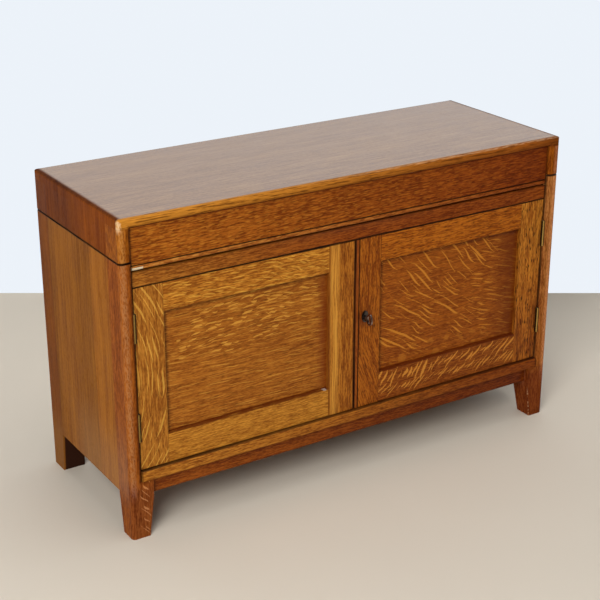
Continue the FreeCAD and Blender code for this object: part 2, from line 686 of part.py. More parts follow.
class Door:
    # The five boards of a door whose bottom rail has the given height.

    def __init__(self, bottom_rail_height):
        self.open_bottom = DOOR_BOTTOM + bottom_rail_height
        self.bottom_tenon = (DOOR_BOTTOM + TENON_SHOULDER, self.open_bottom - TENON_FROM_GROOVE)
        self.top_tenon = (OPEN_TOP + TENON_FROM_GROOVE, DOOR_TOP - TENON_SHOULDER)

    def rail(self, z0, z1, tenon):
        rail = block(MEETING_IN, STILE_IN, DOOR_FRONT, DOOR_BACK, z0, z1)
        tenons = block(MEETING_IN - DOOR_TENON_LENGTH, STILE_IN + DOOR_TENON_LENGTH, PANEL_FRONT, PANEL_BACK,
                       *tenon)
        groove = panel_groove(MEETING_IN - PAST, STILE_IN + PAST, self.open_bottom - TONGUE_REACH,
                              OPEN_TOP + TONGUE_REACH)
        return joined([rail, tenons]).cut(groove)

    def top_rail(self):
        return self.rail(OPEN_TOP, DOOR_TOP, self.top_tenon)

    def bottom_rail(self):
        return self.rail(DOOR_BOTTOM, self.open_bottom, self.bottom_tenon)

    def panel(self):
        return block(MEETING_IN - PANEL_TONGUE, STILE_IN + PANEL_TONGUE, PANEL_FRONT, PANEL_BACK,
                     self.open_bottom - PANEL_TONGUE, OPEN_TOP + PANEL_TONGUE)

    def stile_joints(self, edge, side):
        # The panel groove and the two mortises in a stile; side is +1 where its wood lies at +X of the edge.
        spans = [(TONGUE_REACH, self.open_bottom - TONGUE_REACH, OPEN_TOP + TONGUE_REACH)]
        for low, high in (self.bottom_tenon, self.top_tenon):
            spans.append((DOOR_TENON_LENGTH + JOINT_GAP, low - CHEEK_GAP, high + CHEEK_GAP))
        cuts = []
        for depth, low, high in spans:
            x0, x1 = sorted((edge - side * PAST, edge + side * depth))
            cuts.append(panel_groove(x0, x1, low, high))
        return cuts

    def hinge_stile(self):
        stile = block(STILE_IN, DOOR_OUT, DOOR_FRONT, DOOR_BACK, DOOR_BOTTOM, DOOR_TOP)
        stile = cut_all(stile, self.stile_joints(STILE_IN, 1))
        return cut_all(stile, at_door_hinges(mirrored(DOOR_HINGE.bed())))

    def meeting_stile(self):
        stile = block(DOOR_IN, MEETING_IN, DOOR_FRONT, DOOR_BACK, DOOR_BOTTOM, DOOR_TOP)
        return cut_all(stile, self.stile_joints(MEETING_IN, -1))


def beaded_meeting_stile(stile):
    # The right door's meeting stile carries the bead and the lock.
    bead_end = DOOR_IN + MEETING_BEAD_WIDTH
    stile = stile.cut(block(bead_end, bead_end + MEETING_QUIRK_WIDTH, DOOR_FRONT - PAST,
                            DOOR_FRONT + MEETING_QUIRK_DEPTH, DOOR_BOTTOM - PAST, DOOR_TOP + PAST))
    stile = rounded(stile, MEETING_BEAD_ROUND, x=DOOR_IN, y=DOOR_FRONT)
    keyhole = keyhole_cut(DOOR_FRONT - PAST, DOOR_BACK + PAST)
    return cut_all(stile, [keyhole] + case_screws(screw_hole))


# Lock, keyhole plate and key

BOLT_Y = DOOR_BACK + BOLT_BACK_GAP
BOLT_TOP = LOCK_HEIGHT - BOLT_BELOW_KEY
CASE_BACK = DOOR_BACK + CASE_DEPTH
CASE_LOW = LOCK_HEIGHT - CASE_HEIGHT / 2
CASE_HIGH = LOCK_HEIGHT + CASE_HEIGHT / 2


def keyhole_cut(y0, y1):
    shaft = rod(Vector(LOCK_X, y0, LOCK_HEIGHT), Vector(0, 1, 0), y1 - y0, KEYHOLE_RADIUS)
    half = KEYHOLE_SLOT_WIDTH / 2
    slot = block(LOCK_X - half, LOCK_X + half, y0, y1, LOCK_HEIGHT - KEYHOLE_SLOT_DROP, LOCK_HEIGHT)
    return joined([shaft, slot])


def case_screws(maker):
    places = []
    for x in (CASE_LEFT + CASE_EAR_INSET, CASE_LEFT + CASE_WIDTH - CASE_EAR_INSET):
        for z in (CASE_LOW - CASE_EAR / 2, CASE_HIGH + CASE_EAR / 2):
            places.append(Vector(x, DOOR_BACK + CASE_WALL, z))
    return [maker(place, Vector(0, -1, 0), PLATE_SCREW_LENGTH) for place in places]


def bolt_box(grow):
    return block(CASE_LEFT - PAST, CASE_LEFT + BOLT_LENGTH, BOLT_Y - grow, BOLT_Y + BOLT_THICKNESS + grow,
                 BOLT_TOP - BOLT_HEIGHT - grow, BOLT_TOP + grow)


def lock_case():
    right = CASE_LEFT + CASE_WIDTH
    case = block(CASE_LEFT, right, DOOR_BACK, CASE_BACK, CASE_LOW, CASE_HIGH)
    hollow = block(CASE_LEFT + CASE_WALL, right - CASE_WALL, DOOR_BACK - PAST, CASE_BACK - CASE_WALL,
                   CASE_LOW + CASE_WALL, CASE_HIGH - CASE_WALL)
    ears = block(CASE_LEFT, right, DOOR_BACK, DOOR_BACK + CASE_WALL,
                 CASE_LOW - CASE_EAR, CASE_HIGH + CASE_EAR)
    stem_hole = rod(Vector(LOCK_X, DOOR_BACK, LOCK_HEIGHT), Vector(0, 1, 0), CASE_DEPTH + PAST,
                    KEY_STEM_RADIUS + PIN_CLEARANCE)
    case = joined([case, ears])
    return cut_all(case, [hollow, bolt_box(BOLT_SLOT_GAP), stem_hole] + case_screws(screw_hole))


def lock_bolt():
    bolt = block(CASE_LEFT, CASE_LEFT + BOLT_LENGTH, BOLT_Y, BOLT_Y + BOLT_THICKNESS,
                 BOLT_TOP - BOLT_HEIGHT, BOLT_TOP)
    talon = block(LOCK_X - TALON_LEFT, LOCK_X + TALON_RIGHT, BOLT_Y - PAST, BOLT_Y + BOLT_THICKNESS + PAST,
                  BOLT_TOP - TALON_DEPTH, BOLT_TOP + PAST)
    return bolt.cut(talon)


def escutcheon():
    centre = Vector(LOCK_X, DOOR_FRONT - PLATE_THICKNESS, LOCK_HEIGHT + PLATE_ABOVE_KEY)
    plate = ellipse_disc(centre, PLATE_TALL, PLATE_WIDTH, Vector(0, PLATE_THICKNESS, 0), Vector(1, 0, 0))
    return plate.cut(keyhole_cut(DOOR_FRONT - PLATE_THICKNESS - PAST, DOOR_FRONT + PAST))


def key():
    along = Vector(0, 1, 0)
    bow_front = DOOR_FRONT - KEY_STAND
    half = KEY_BOW_THICKNESS / 2
    centre = Vector(LOCK_X - half, bow_front + KEY_BOW_LENGTH / 2, LOCK_HEIGHT)
    sweep = Vector(KEY_BOW_THICKNESS, 0, 0)
    bow = ellipse_disc(centre, KEY_BOW_TALL, KEY_BOW_LENGTH, sweep, along)
    eye = ellipse_disc(centre, KEY_BOW_TALL - 2 * KEY_BOW_BAR, KEY_BOW_LENGTH - 2 * KEY_BOW_BAR,
                       sweep, along)
    stem_start = bow_front + KEY_BOW_LENGTH - KEY_BOW_BAR / 2
    stem = rod(Vector(LOCK_X, stem_start, LOCK_HEIGHT), along, CASE_BACK - stem_start, KEY_STEM_RADIUS)
    collar = rod(Vector(LOCK_X, bow_front + KEY_BOW_LENGTH, LOCK_HEIGHT), along, KEY_COLLAR_LENGTH,
                 KEY_COLLAR_RADIUS)
    bit_y = BOLT_Y + (BOLT_THICKNESS - KEY_BIT_LENGTH) / 2
    bit = block(LOCK_X - KEY_BIT_THICKNESS / 2, LOCK_X + KEY_BIT_THICKNESS / 2,
                bit_y, bit_y + KEY_BIT_LENGTH, LOCK_HEIGHT - KEY_BIT_REACH, LOCK_HEIGHT)
    return joined([bow.cut(eye), stem, collar, bit])


# Bolt behind the left door's meeting stile

BARREL_X = -(DOOR_IN + BOLT_FROM_EDGE)
BARREL_Y = DOOR_BACK + BOLT_PLATE_THICKNESS + BARREL_ABOVE_PLATE + BARREL_RADIUS
BARREL_TOP = DOOR_TOP - BARREL_BELOW_TOP
BOLT_PLATE_TOP = DOOR_TOP - BOLT_PLATE_BELOW_TOP
BOLT_PLATE_LOW = BOLT_PLATE_TOP - BOLT_PLATE_HEIGHT
GUIDE_INSET = 2 * PLATE_SCREW_EDGE
KNOB_Z = BOLT_PLATE_LOW + GUIDE_INSET + GUIDE_LENGTH + KNOB_REST_GAP + KNOB_STEM_RADIUS


def bolt_plate_screws(maker):
    reach = BOLT_PLATE_WIDTH / 2 - PLATE_SCREW_EDGE
    back = DOOR_BACK + BOLT_PLATE_THICKNESS
    places = []
    for x in (BARREL_X - reach, BARREL_X + reach):
        for z in (BOLT_PLATE_LOW + PLATE_SCREW_EDGE, BOLT_PLATE_TOP - PLATE_SCREW_EDGE):
            places.append(Vector(x, back, z))
    return [maker(place, Vector(0, -1, 0), PLATE_SCREW_LENGTH) for place in places]


def bolt_plate():
    half = BOLT_PLATE_WIDTH / 2
    back = DOOR_BACK + BOLT_PLATE_THICKNESS
    pieces = [block(BARREL_X - half, BARREL_X + half, DOOR_BACK, back, BOLT_PLATE_LOW, BOLT_PLATE_TOP)]
    guide_half = BARREL_RADIUS + GUIDE_WALL
    for low in (BOLT_PLATE_LOW + GUIDE_INSET, BOLT_PLATE_TOP - GUIDE_INSET - GUIDE_LENGTH):
        pieces.append(block(BARREL_X - guide_half, BARREL_X + guide_half, DOOR_BACK, BARREL_Y + guide_half,
                            low, low + GUIDE_LENGTH))
    bore = rod(Vector(BARREL_X, BARREL_Y, BOLT_PLATE_LOW - PAST), Vector(0, 0, 1),
               BOLT_PLATE_HEIGHT + 2 * PAST, BARREL_RADIUS + BARREL_CLEARANCE)
    return cut_all(joined(pieces), [bore] + bolt_plate_screws(screw_hole))


def bolt_rod():
    barrel = rod(Vector(BARREL_X, BARREL_Y, BARREL_TOP - BARREL_LENGTH), Vector(0, 0, 1), BARREL_LENGTH,
                 BARREL_RADIUS)
    socket = rod(Vector(BARREL_X, BARREL_Y, KNOB_Z), Vector(0, 1, 0), BARREL_RADIUS + PAST, KNOB_STEM_RADIUS)
    return barrel.cut(socket)


def bolt_knob():
    along = Vector(0, 1, 0)
    stem = rod(Vector(BARREL_X, BARREL_Y, KNOB_Z), along, BARREL_RADIUS + KNOB_STEM_LENGTH, KNOB_STEM_RADIUS)
    head_y = BARREL_Y + BARREL_RADIUS + KNOB_STEM_LENGTH
    head = rod(Vector(BARREL_X, head_y, KNOB_Z), along, KNOB_LENGTH, KNOB_RADIUS)
    return joined([stem, head])


# Every piece under its own name

LEFT_DOOR = Door(LEFT_BOTTOM_RAIL_HEIGHT)
RIGHT_DOOR = Door(RIGHT_BOTTOM_RAIL_HEIGHT)
RIGHT_POST_LEAVES = at_door_hinges(DOOR_HINGE.leaf(0))
RIGHT_POST_SCREWS = at_door_hinges(group(DOOR_HINGE.screws()))
RIGHT_DOOR_LEAVES = at_door_hinges(mirrored(DOOR_HINGE.leaf(1)))
RIGHT_DOOR_SCREWS = at_door_hinges(group([mirrored(screw) for screw in DOOR_HINGE.screws()]))
RIGHT_PINS = at_door_hinges(DOOR_HINGE.pin())


def both_sides(shapes):
    return group(shapes + [mirrored(shape) for shape in shapes])


pieces = {
    "front_post_right": front_post(),
    "back_post_right": back_post(),
    "side_board_right": cut_all(side_board(FOOT_HEIGHT, BODY_TOP, BODY_TOP), side_bearer_screws(screw_hole)),
    "floor_bearer_right": side_bearer(),
    "lid_front_post_right": lid_front_post(),
    "lid_back_post_right": lid_back_post(),
    "lid_side_right": side_board(LID_BOTTOM, LID_BOARD, LID_BOTTOM),
}
for name in list(pieces):
    pieces[name.replace("right", "left")] = mirrored(pieces[name])
pieces.update({
    "front_apron": cut_all(cross_rail(*APRON), front_bearer_screws(screw_hole)),
    "front_nosing": front_nosing(),
    "front_top_rail": cross_rail(*TOP_RAIL),
    "back_top_rail": back_top_rail(),
    "back_bottom_rail": back_bottom_rail(),
    "back_panel": back_panel(),
    "floor_board": floor_board(),
    "floor_bearer_front": front_bearer(),
    "floor_bearer_back": back_bearer(),
    "floor_bearer_screws": bearer_screws(),
    "door_stop": door_stop(),
    "lid_top": lid_top(),
    "lid_front": lid_front(),
    "lid_back": lid_back(),
    "right_door_hinge_stile": RIGHT_DOOR.hinge_stile(),
    "right_door_meeting_stile": beaded_meeting_stile(RIGHT_DOOR.meeting_stile()),
    "right_door_top_rail": RIGHT_DOOR.top_rail(),
    "right_door_bottom_rail": RIGHT_DOOR.bottom_rail(),
    "right_door_panel": RIGHT_DOOR.panel(),
    "left_door_hinge_stile": mirrored(LEFT_DOOR.hinge_stile()),
    "left_door_meeting_stile": cut_all(mirrored(LEFT_DOOR.meeting_stile()), bolt_plate_screws(screw_hole)),
    "left_door_top_rail": cut_all(mirrored(LEFT_DOOR.top_rail()), bolt_plate_screws(screw_hole)),
    "left_door_bottom_rail": mirrored(LEFT_DOOR.bottom_rail()),
    "left_door_panel": mirrored(LEFT_DOOR.panel()),
    "door_hinge_post_leaves": both_sides(RIGHT_POST_LEAVES),
    "door_hinge_post_screws": both_sides(RIGHT_POST_SCREWS),
    "door_hinge_pins": both_sides(RIGHT_PINS),
    "right_door_hinge_leaves": group(RIGHT_DOOR_LEAVES),
    "right_door_hinge_screws": group(RIGHT_DOOR_SCREWS),
    "left_door_hinge_leaves": mirrored(group(RIGHT_DOOR_LEAVES)),
    "left_door_hinge_screws": mirrored(group(RIGHT_DOOR_SCREWS)),
    "lid_hinge_lid_leaves": group(at_lid_hinges(LID_HINGE.leaf(1))),
    "lid_hinge_lid_screws": group(at_lid_hinges(group(LID_HINGE.screws()))),
    "lid_hinge_body_leaves": group(at_lid_hinges(mirrored(LID_HINGE.leaf(0)))),
    "lid_hinge_body_screws": group(at_lid_hinges(mirrored(group(LID_HINGE.screws())))),
    "lid_hinge_pins": group(at_lid_hinges(LID_HINGE.pin())),
    "lock_case": lock_case(),
    "lock_case_screws": group(case_screws(wood_screw)),
    "lock_bolt": lock_bolt(),
    "escutcheon": escutcheon(),
    "key": key(),
    "bolt_plate": bolt_plate(),
    "bolt_plate_screws": group(bolt_plate_screws(wood_screw)),
    "bolt_rod": bolt_rod(),
    "bolt_knob": bolt_knob(),
})

os.makedirs("parts", exist_ok=True)
for name, shape in pieces.items():
    shape.exportStep("parts/" + name + ".step")
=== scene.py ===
import math
from collections import namedtuple
from functools import reduce

import bpy
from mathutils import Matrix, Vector


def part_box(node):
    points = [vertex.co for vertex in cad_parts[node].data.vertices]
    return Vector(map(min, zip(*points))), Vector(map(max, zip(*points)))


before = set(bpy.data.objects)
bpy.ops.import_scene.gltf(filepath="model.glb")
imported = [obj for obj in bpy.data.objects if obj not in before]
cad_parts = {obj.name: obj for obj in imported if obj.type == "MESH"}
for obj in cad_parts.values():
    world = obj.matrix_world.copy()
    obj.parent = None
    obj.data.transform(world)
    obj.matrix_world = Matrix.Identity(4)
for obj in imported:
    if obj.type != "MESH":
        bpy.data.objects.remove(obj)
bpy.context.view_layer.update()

# The view: where the camera stands, and its lens in pixels of a square picture
PICTURE_WIDTH = 600
LENS_IN_PIXELS = 1408.6
SENSOR_WIDTH = 36.0
CAMERA_PLACE = (-1.3235, -2.0621, 1.2862)
CAMERA_TURN = -32.33
CAMERA_TILT = 22.16

# The room, in metres
WALL_BEHIND = 0.753
ROOM_SPREAD = 9.0
WALL_HEIGHT = 5.0
FLOOR_PALE = (0.66, 0.59, 0.49)
WALL_PALE = (0.84, 0.89, 0.95, 1)
ROOM_LIGHT = (0.95, 0.97, 1.0, 1)
ROOM_LIGHT_STRENGTH = 0.16

# Materials work in millimetres of the frame
MM = 1000.0


def low_mm(node):
    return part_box(node)[0] * MM


def high_mm(node):
    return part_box(node)[1] * MM


class Value:
    """One socket of a finish. Sums on it add Math nodes."""

    def __init__(self, finish, socket):
        self.finish = finish
        self.socket = socket

    def __add__(self, other):
        return self.finish.sum("ADD", self, other)

    def __radd__(self, other):
        return self.finish.sum("ADD", other, self)

    def __sub__(self, other):
        return self.finish.sum("SUBTRACT", self, other)

    def __rsub__(self, other):
        return self.finish.sum("SUBTRACT", other, self)

    def __mul__(self, other):
        return self.finish.sum("MULTIPLY", self, other)

    def __rmul__(self, other):
        return self.finish.sum("MULTIPLY", other, self)

    def __truediv__(self, other):
        return self.finish.sum("DIVIDE", self, other)

    def __rtruediv__(self, other):
        return self.finish.sum("DIVIDE", other, self)

    def __abs__(self):
        return self.finish.sum("ABSOLUTE", self)

    def of(self, out):
        """Another output of the same node."""
        return Value(self.finish, self.socket.node.outputs[out])

    def least(self, other):
        return self.finish.sum("MINIMUM", self, other)

    def most(self, other):
        return self.finish.sum("MAXIMUM", self, other)

    def rise(self, start, end):
        """0 up to start and 1 from end on, with a smooth rise; start may be the larger one."""
        settings = {"interpolation_type": "SMOOTHSTEP"}
        if start <= end:
            return self.finish.node("MapRange", settings, {0: self, 1: start, 2: end})
        return 1 - self.finish.node("MapRange", settings, {0: self, 1: end, 2: start})


class Finish:
    """A material that is written as sums on its sockets."""

    def __init__(self, name):
        self.material = bpy.data.materials.new(name)
        self.material.use_nodes = True
        self.tree = self.material.node_tree
        self.tree.nodes.clear()

    def node(self, kind, settings=None, sockets=None, out=0):
        made = self.tree.nodes.new("ShaderNode" + kind)
        for name, value in (settings or {}).items():
            setattr(made, name, value)
        for key, value in (sockets or {}).items():
            if isinstance(value, Value):
                self.tree.links.new(value.socket, made.inputs[key])
            else:
                made.inputs[key].default_value = value
        return Value(self, made.outputs[out]) if made.outputs else None

    def sum(self, operation, *terms):
        return self.node("Math", {"operation": operation}, dict(enumerate(terms)))

    def mix(self, share, plain, other):
        """A colour between two, each of them a colour or a link."""
        plain, other = [c if isinstance(c, Value) else (*c, 1.0) for c in (plain, other)]
        return self.node("Mix", {"data_type": "RGBA"}, {0: share, 6: plain, 7: other}, out=2)

    def shaded(self, colour, amount):
        """A colour times a value."""
        grey = self.node("CombineXYZ", None, {0: amount, 1: amount, 2: amount})
        return self.node("VectorMath", {"operation": "MULTIPLY"}, {0: colour, 1: grey})

    def tinted(self, colour, gains):
        """A colour times a gain for each of red, green and blue."""
        return self.node("VectorMath", {"operation": "MULTIPLY"}, {0: colour, 1: gains})

    def parts(self, vector):
        split = self.node("SeparateXYZ", None, {0: vector})
        return [split.of(axis) for axis in range(3)]

    def place(self):
        """The point's X, Y and Z in millimetres, on the piece at rest."""
        point = self.node("TexCoord", out="Object")
        return self.parts(self.node("VectorMath", {"operation": "SCALE"}, {0: point, 3: MM}))

    def noise(self, x, y, z, detail=0.0, rough=0.5):
        """Soft noise round 0.5, about one swing in each unit of the three values."""
        point = self.node("CombineXYZ", None, {0: x, 1: y, 2: z})
        return self.node("TexNoise", None, {
            "Vector": point, "Scale": 1.0, "Detail": detail, "Roughness": rough})

    def surface(self, shader):
        self.node("OutputMaterial", None, {0: shader})
        return self.material

    def dress(self, shader, nodes):
        """Ends the material in the shader and gives it to the named CAD pieces."""
        material = self.surface(shader)
        for node in nodes:
            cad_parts[node].data.materials.clear()
            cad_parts[node].data.materials.append(material)


# Places on the chest, in millimetres

SIDE_X = high_mm("lid_top").x
LID_FACE = high_mm("lid_top").z
LID_BOARD = high_mm("lid_back").z
FRONT_FACE = low_mm("front_post_left").y
BACK_FACE = high_mm("back_post_left").y
DOOR_FACE = low_mm("right_door_hinge_stile").y
DOOR_OUT = high_mm("right_door_hinge_stile").x
DOOR_TOP = high_mm("right_door_hinge_stile").z
DOOR_FOOT = low_mm("right_door_hinge_stile").z
NOSING_FOOT = low_mm("front_nosing").z
LID_LINE = (high_mm("side_board_left").z + low_mm("lid_side_left").z) / 2
BEAD_FOOT = low_mm("lid_front").z
BEAD_HEIGHT = 8.9
LID_QUIRK = BEAD_FOOT + BEAD_HEIGHT
DOOR_BEAD_WIDTH = 7.2
DOOR_QUIRK = low_mm("right_door_meeting_stile").x + DOOR_BEAD_WIDTH
KEY_X = (low_mm("key").x + high_mm("key").x) / 2
KEY_Z = (low_mm("key").z + high_mm("key").z) / 2
FOOT_WIDTH = 33.0
FOOT_TAPER = 0.13
HALF_GAP = 0.8
BEAD_CHIP_END = -411.0
RAIL_CHIP_X = -63.0


# Oak

# Light flecks where the saw met the rays of the wood. How far apart they are lengthwise and sidewise, their
# half length and half width, how many degrees they turn from the grain, how they bend along the board, how
# much each one winds, how strongly they show, and the patch of the board that they keep to: its middle and
# its half sizes, along and across. In a comb they stand side by side along the middle of the patch.
Flecks = namedtuple("Flecks", "pitch row length width slope bend wind light patch comb",
                    defaults=(0.0, 0.0, 0.0, 0.6, None, False))

# Gains on a board's own tone, for its flecks, its grain and the painted highlight on the lid front's bead
RAY_GAIN = (2.0, 3.0, 4.2)
FOOT_RAY_GAIN = (2.4, 3.9, 7.0)
RAIL_RAY_GAIN = (2.5, 4.1, 6.0)
BEAD_HIGHLIGHT_GAIN = (1.4, 1.9, 5.0)
LIGHT_GRAIN = (1.32, 1.45, 1.6)
DARK_GRAIN = (0.60, 0.47, 0.38)

# Tones of the boards
RED = (0.31, 0.080, 0.005)
DARK_RED = (0.205, 0.041, 0.002)
TAN = (0.315, 0.105, 0.010)
RUSSET = (0.27, 0.066, 0.004)
BACK_BROWN = (0.207, 0.055, 0.004)
LID_BROWN = (0.260, 0.123, 0.035)
LID_SIDE = (0.21, 0.047, 0.002)
LID_SIDE_BACK = (0.16, 0.036, 0.002)
NOSE_GOLD = (0.47, 0.180, 0.020)
NOSE_RED = (0.29, 0.078, 0.009)
NOSE_END = (0.13, 0.030, 0.004)
NOSE_STREAK = (0.08, 0.019, 0.003)
DOOR_BEAD_RED = (0.24, 0.05, 0.006)
SAPWOOD = (0.66, 0.30, 0.042)
STILE_LINE = (0.14, 0.028, 0.003)
STILE_EDGE = (0.18, 0.042, 0.004)
STILE_DARK = (0.08, 0.016, 0.003)
PLAIN_DARK = (0.17, 0.068, 0.018)
PLAIN_LIGHT = (0.41, 0.21, 0.075)

# Tones of dirt, dust, old polish and bare wood, and of painted shade, shadow and highlight
PORE_DARK = (0.020, 0.005, 0.001)
GAP_SHADE = (0.008, 0.003, 0.002)
RED_RUN_AND_SHADE = (0.11, 0.015, 0.002)
HANDLED_DARK = (0.10, 0.016, 0.003)
STRIP_SHADE = (0.06, 0.012, 0.002)
PANEL_SHADE = (0.05, 0.012, 0.003)
RAIL_SHADOW = (0.125, 0.042, 0.016)
SIDE_DUST = (0.55, 0.38, 0.22)
POST_DUST = (0.55, 0.35, 0.2)
FOOT_DUST = (0.26, 0.105, 0.022)
FOOT_SHADE = (0.03, 0.010, 0.005)
PINK_HIGHLIGHT = (0.47, 0.18, 0.085)
RUBBED_AND_HIGHLIGHT = (0.72, 0.47, 0.25)
CHIP_PALE = (0.72, 0.58, 0.38)
CHIP_GREY = (0.50, 0.42, 0.36)

# How long the fine streaks run
SHORT_STREAKS = 24
LID_STREAKS = 60
LONG_STREAKS = 90

# How far apart in the log two boards lie for each step of their shift: in millimetres for the grain of
# polished boards, and in swings of the pattern for their flecks and for the rings of plain boards. Boards
# that are glued up to one piece have a step of their own.
LOG_STEP = 37.0
FLECK_STEP = 7.3
RING_STEP = 3.1
GLUED_STEP = 7.3

# What the lid's sides share with the ends of its top board
LID_SIDE_SHIFT = 13
LID_SIDE_BANDS = 0.7
LID_SIDE_STREAKS = 0.4


def oak_frame(finish, node, grain):
    """Along the grain, across the face and into the board, in millimetres from the board's middle."""
    places = finish.place()
    low, high = low_mm(node), high_mm(node)
    order = ["xyz".index(axis) for axis in grain]
    order.append(3 - sum(order))
    along, across, deep = [places[axis] - (low[axis] + high[axis]) / 2 for axis in order]
    return along, across, deep, [(high[axis] - low[axis]) / 2 for axis in order]


def ray_flecks(finish, flecks, along, across, ragged, seed):
    """Where the flecks lie: a slim ragged lens round the middle of each cell, of its own size and wind."""
    turn = math.radians(flecks.slope)
    run = along * math.cos(turn) - across * math.sin(turn)
    wander = finish.noise(along / 60, across / 60, seed, 1.0) - 0.5
    lines = across * math.cos(turn) + along * math.sin(turn) + flecks.bend * run * run + wander * flecks.row
    if flecks.comb:
        cell = finish.node("TexVoronoi", {"voronoi_dimensions": "1D"},
                           {"W": lines / flecks.row + seed, "Scale": 1.0, "Randomness": 0.6})
        lengths, winds, widths = finish.parts(cell.of("Color"))
        line = (cell.of("W") - seed) * flecks.row
        start = line / math.tan(turn) - flecks.patch[1] / math.sin(turn) + (winds - 0.5) * flecks.pitch
    else:
        point = finish.node("CombineXYZ", None, {0: run / flecks.pitch + seed, 1: lines / flecks.row})
        cell = finish.node("TexVoronoi", {"voronoi_dimensions": "2D"},
                           {"Vector": point, "Scale": 1.0, "Randomness": 0.75})
        lengths, winds, widths = finish.parts(cell.of("Color"))
        start, line, _ = finish.parts(cell.of("Position"))
        start, line = (start - seed) * flecks.pitch, line * flecks.row
    share = (run - start) / (flecks.length * (0.5 + lengths))
    bow = flecks.wind * ((0.3 + winds) * (share - share * share * share) + (lengths - 0.5) * share * share)
    off = abs(lines - line + bow) + 1.4 * flecks.width * ragged
    width = flecks.width * (0.4 + 1.1 * widths)
    if flecks.patch:
        a, c, half_a, half_c = flecks.patch
        a, c = (along - a) / half_a, (across - c) / half_c
        width = width * (a * a + c * c).rise(1.25, 0.6)
    body = width * (1 - share * share) - off
    return body.rise(0.0, 0.5 * flecks.width) * flecks.light


def gap_shade_lines(finish):
    """Painted shade, with some dirt, in the lid line, round the doors and beside the half-round strips."""
    x, y, z = finish.place()
    front = y.rise(DOOR_FACE + 5, DOOR_FACE + 2)
    wide = abs(x).rise(DOOR_OUT + 2.0, DOOR_OUT + 1.0)
    tall = z.rise(NOSING_FOOT, NOSING_FOOT + 1) * z.rise(LID_BOARD + 1, LID_BOARD)
    tall = tall * (1 - 0.5 * z.rise(LID_LINE, LID_LINE + 5))
    tall = tall * (1 - 0.4 * z.rise(DOOR_FOOT, DOOR_FOOT - 3))
    door = z.rise(DOOR_FOOT - 1, DOOR_FOOT) * z.rise(DOOR_TOP + 1, DOOR_TOP)
    # The painted shade over the doors is widest in the middle, under the lid's bead.
    widest = abs(x + 20).rise(190, 60)
    above = (abs(z - DOOR_TOP - HALF_GAP) - 0.8 * widest).rise(2.0, 0.7) * wide
    below = abs(z - DOOR_FOOT + HALF_GAP).rise(1.7, 0.6) * wide * (1 - 0.35 * x.rise(-400, -150))
    beside = abs(abs(x) - DOOR_OUT - HALF_GAP).rise(2.1, 0.7) * tall * 0.9
    between = abs(x).rise(4.2, 1.8) * door
    outside = abs(x).rise(SIDE_X - 3, SIDE_X - 1.5).most(y.rise(FRONT_FACE + 9, FRONT_FACE + 7))
    outside = outside.most(y.rise(BACK_FACE - 3, BACK_FACE - 1.5))
    lid = abs(z - LID_LINE).rise(2.9, 1.3) * abs(x).rise(DOOR_OUT, DOOR_OUT + 1) * outside
    return (above.most(below).most(beside).most(between) * front).most(lid)


def oak_grain(finish, along, across, inside, ground, bands, streaks, clouds=1.0, run=SHORT_STREAKS):
    """The ground tone with its growth rings, cloudy patches and fine streaks."""
    wide = finish.noise(along / 380, across / 17, inside / 17, 3.0, 0.6) - 0.5
    patches = finish.noise(along / 90, across / 45, inside / 45, 1.0) - 0.5
    fine = finish.noise(along / run, across / 2.2, inside / 2.2, 2.0).rise(0.36, 0.64) - 0.5
    speck = finish.noise(along / 6, across / 2.0, inside / 2.0).rise(0.32, 0.68) - 0.5
    light = 0.5 + bands * (2.2 * wide + clouds * patches) + streaks * (0.85 * fine + 0.4 * speck)
    return finish.mix(light, finish.tinted(ground, DARK_GRAIN), finish.tinted(ground, LIGHT_GRAIN)), patches


def polished_oak(node, grain, tone, far_tone=None, fade="along", far_from=1.0, flecks=(), ray_gain=RAY_GAIN,
                 bands=0.5, clouds=1.0, streaks=1.0, run=SHORT_STREAKS, dashes=0.3, grime=0.3, gaps=True,
                 coat=0.0, specular=0.1, shift=0, lean=0.0, change=None):
    """Quarter-sawn oak under polish. The grain may lean in the lower part of an upright board."""
    finish = Finish("oak_" + node)
    along, across, deep, half = oak_frame(finish, node, grain)
    edge = half[1] - abs(across)
    across = across - lean * along.rise(60, -120) * along if lean else across
    reach = along / (2 * half[0]) if fade == "along" else across / (2 * half[1])
    ground = finish.mix((reach + 0.5).rise(0, far_from), tone, far_tone or tone)
    inside = deep + LOG_STEP * shift
    colour, patches = oak_grain(finish, along, across, inside, ground, bands, streaks, clouds, run)

    pore = finish.noise(along / 13, across / 2.6, inside / 2.6, 1.0).rise(0.57, 0.70)
    if flecks:
        ragged = finish.noise(along / 9, across / 1.3, shift, 1.0) - 0.5
        layers = [ray_flecks(finish, layer, along, across, ragged, shift * FLECK_STEP) for layer in flecks]
        fleck = reduce(Value.most, layers) * abs(deep).rise(0.6 * half[2], 0.8 * half[2])
        colour = finish.mix(fleck, colour, finish.tinted(ground, ray_gain))
        pore = pore * (1 - 0.8 * fleck)
    colour = finish.mix(pore * dashes, colour, PORE_DARK)
    colour = finish.mix(edge.rise(2.4, 0.4) * grime, colour, PORE_DARK)
    if change:
        colour, coat = change(finish, colour, coat)
    # Painted shade, with some dirt, in the gaps and the lid line.
    if gaps:
        colour = finish.mix(gap_shade_lines(finish) * (0.85 + patches).least(1.0), colour, GAP_SHADE)

    bump = finish.node("Bump", None, {"Strength": 0.2, "Distance": 0.0002, "Height": 1 - pore})
    rough = 0.40 + 0.12 * pore + 0.2 * patches
    shader = finish.node("BsdfPrincipled", None, {
        "Base Color": colour, "Roughness": rough, "Specular IOR Level": specular,
        "Coat Weight": coat, "Coat Roughness": 0.22, "Coat IOR": 1.66, "Normal": bump})
    finish.dress(shader, [node])


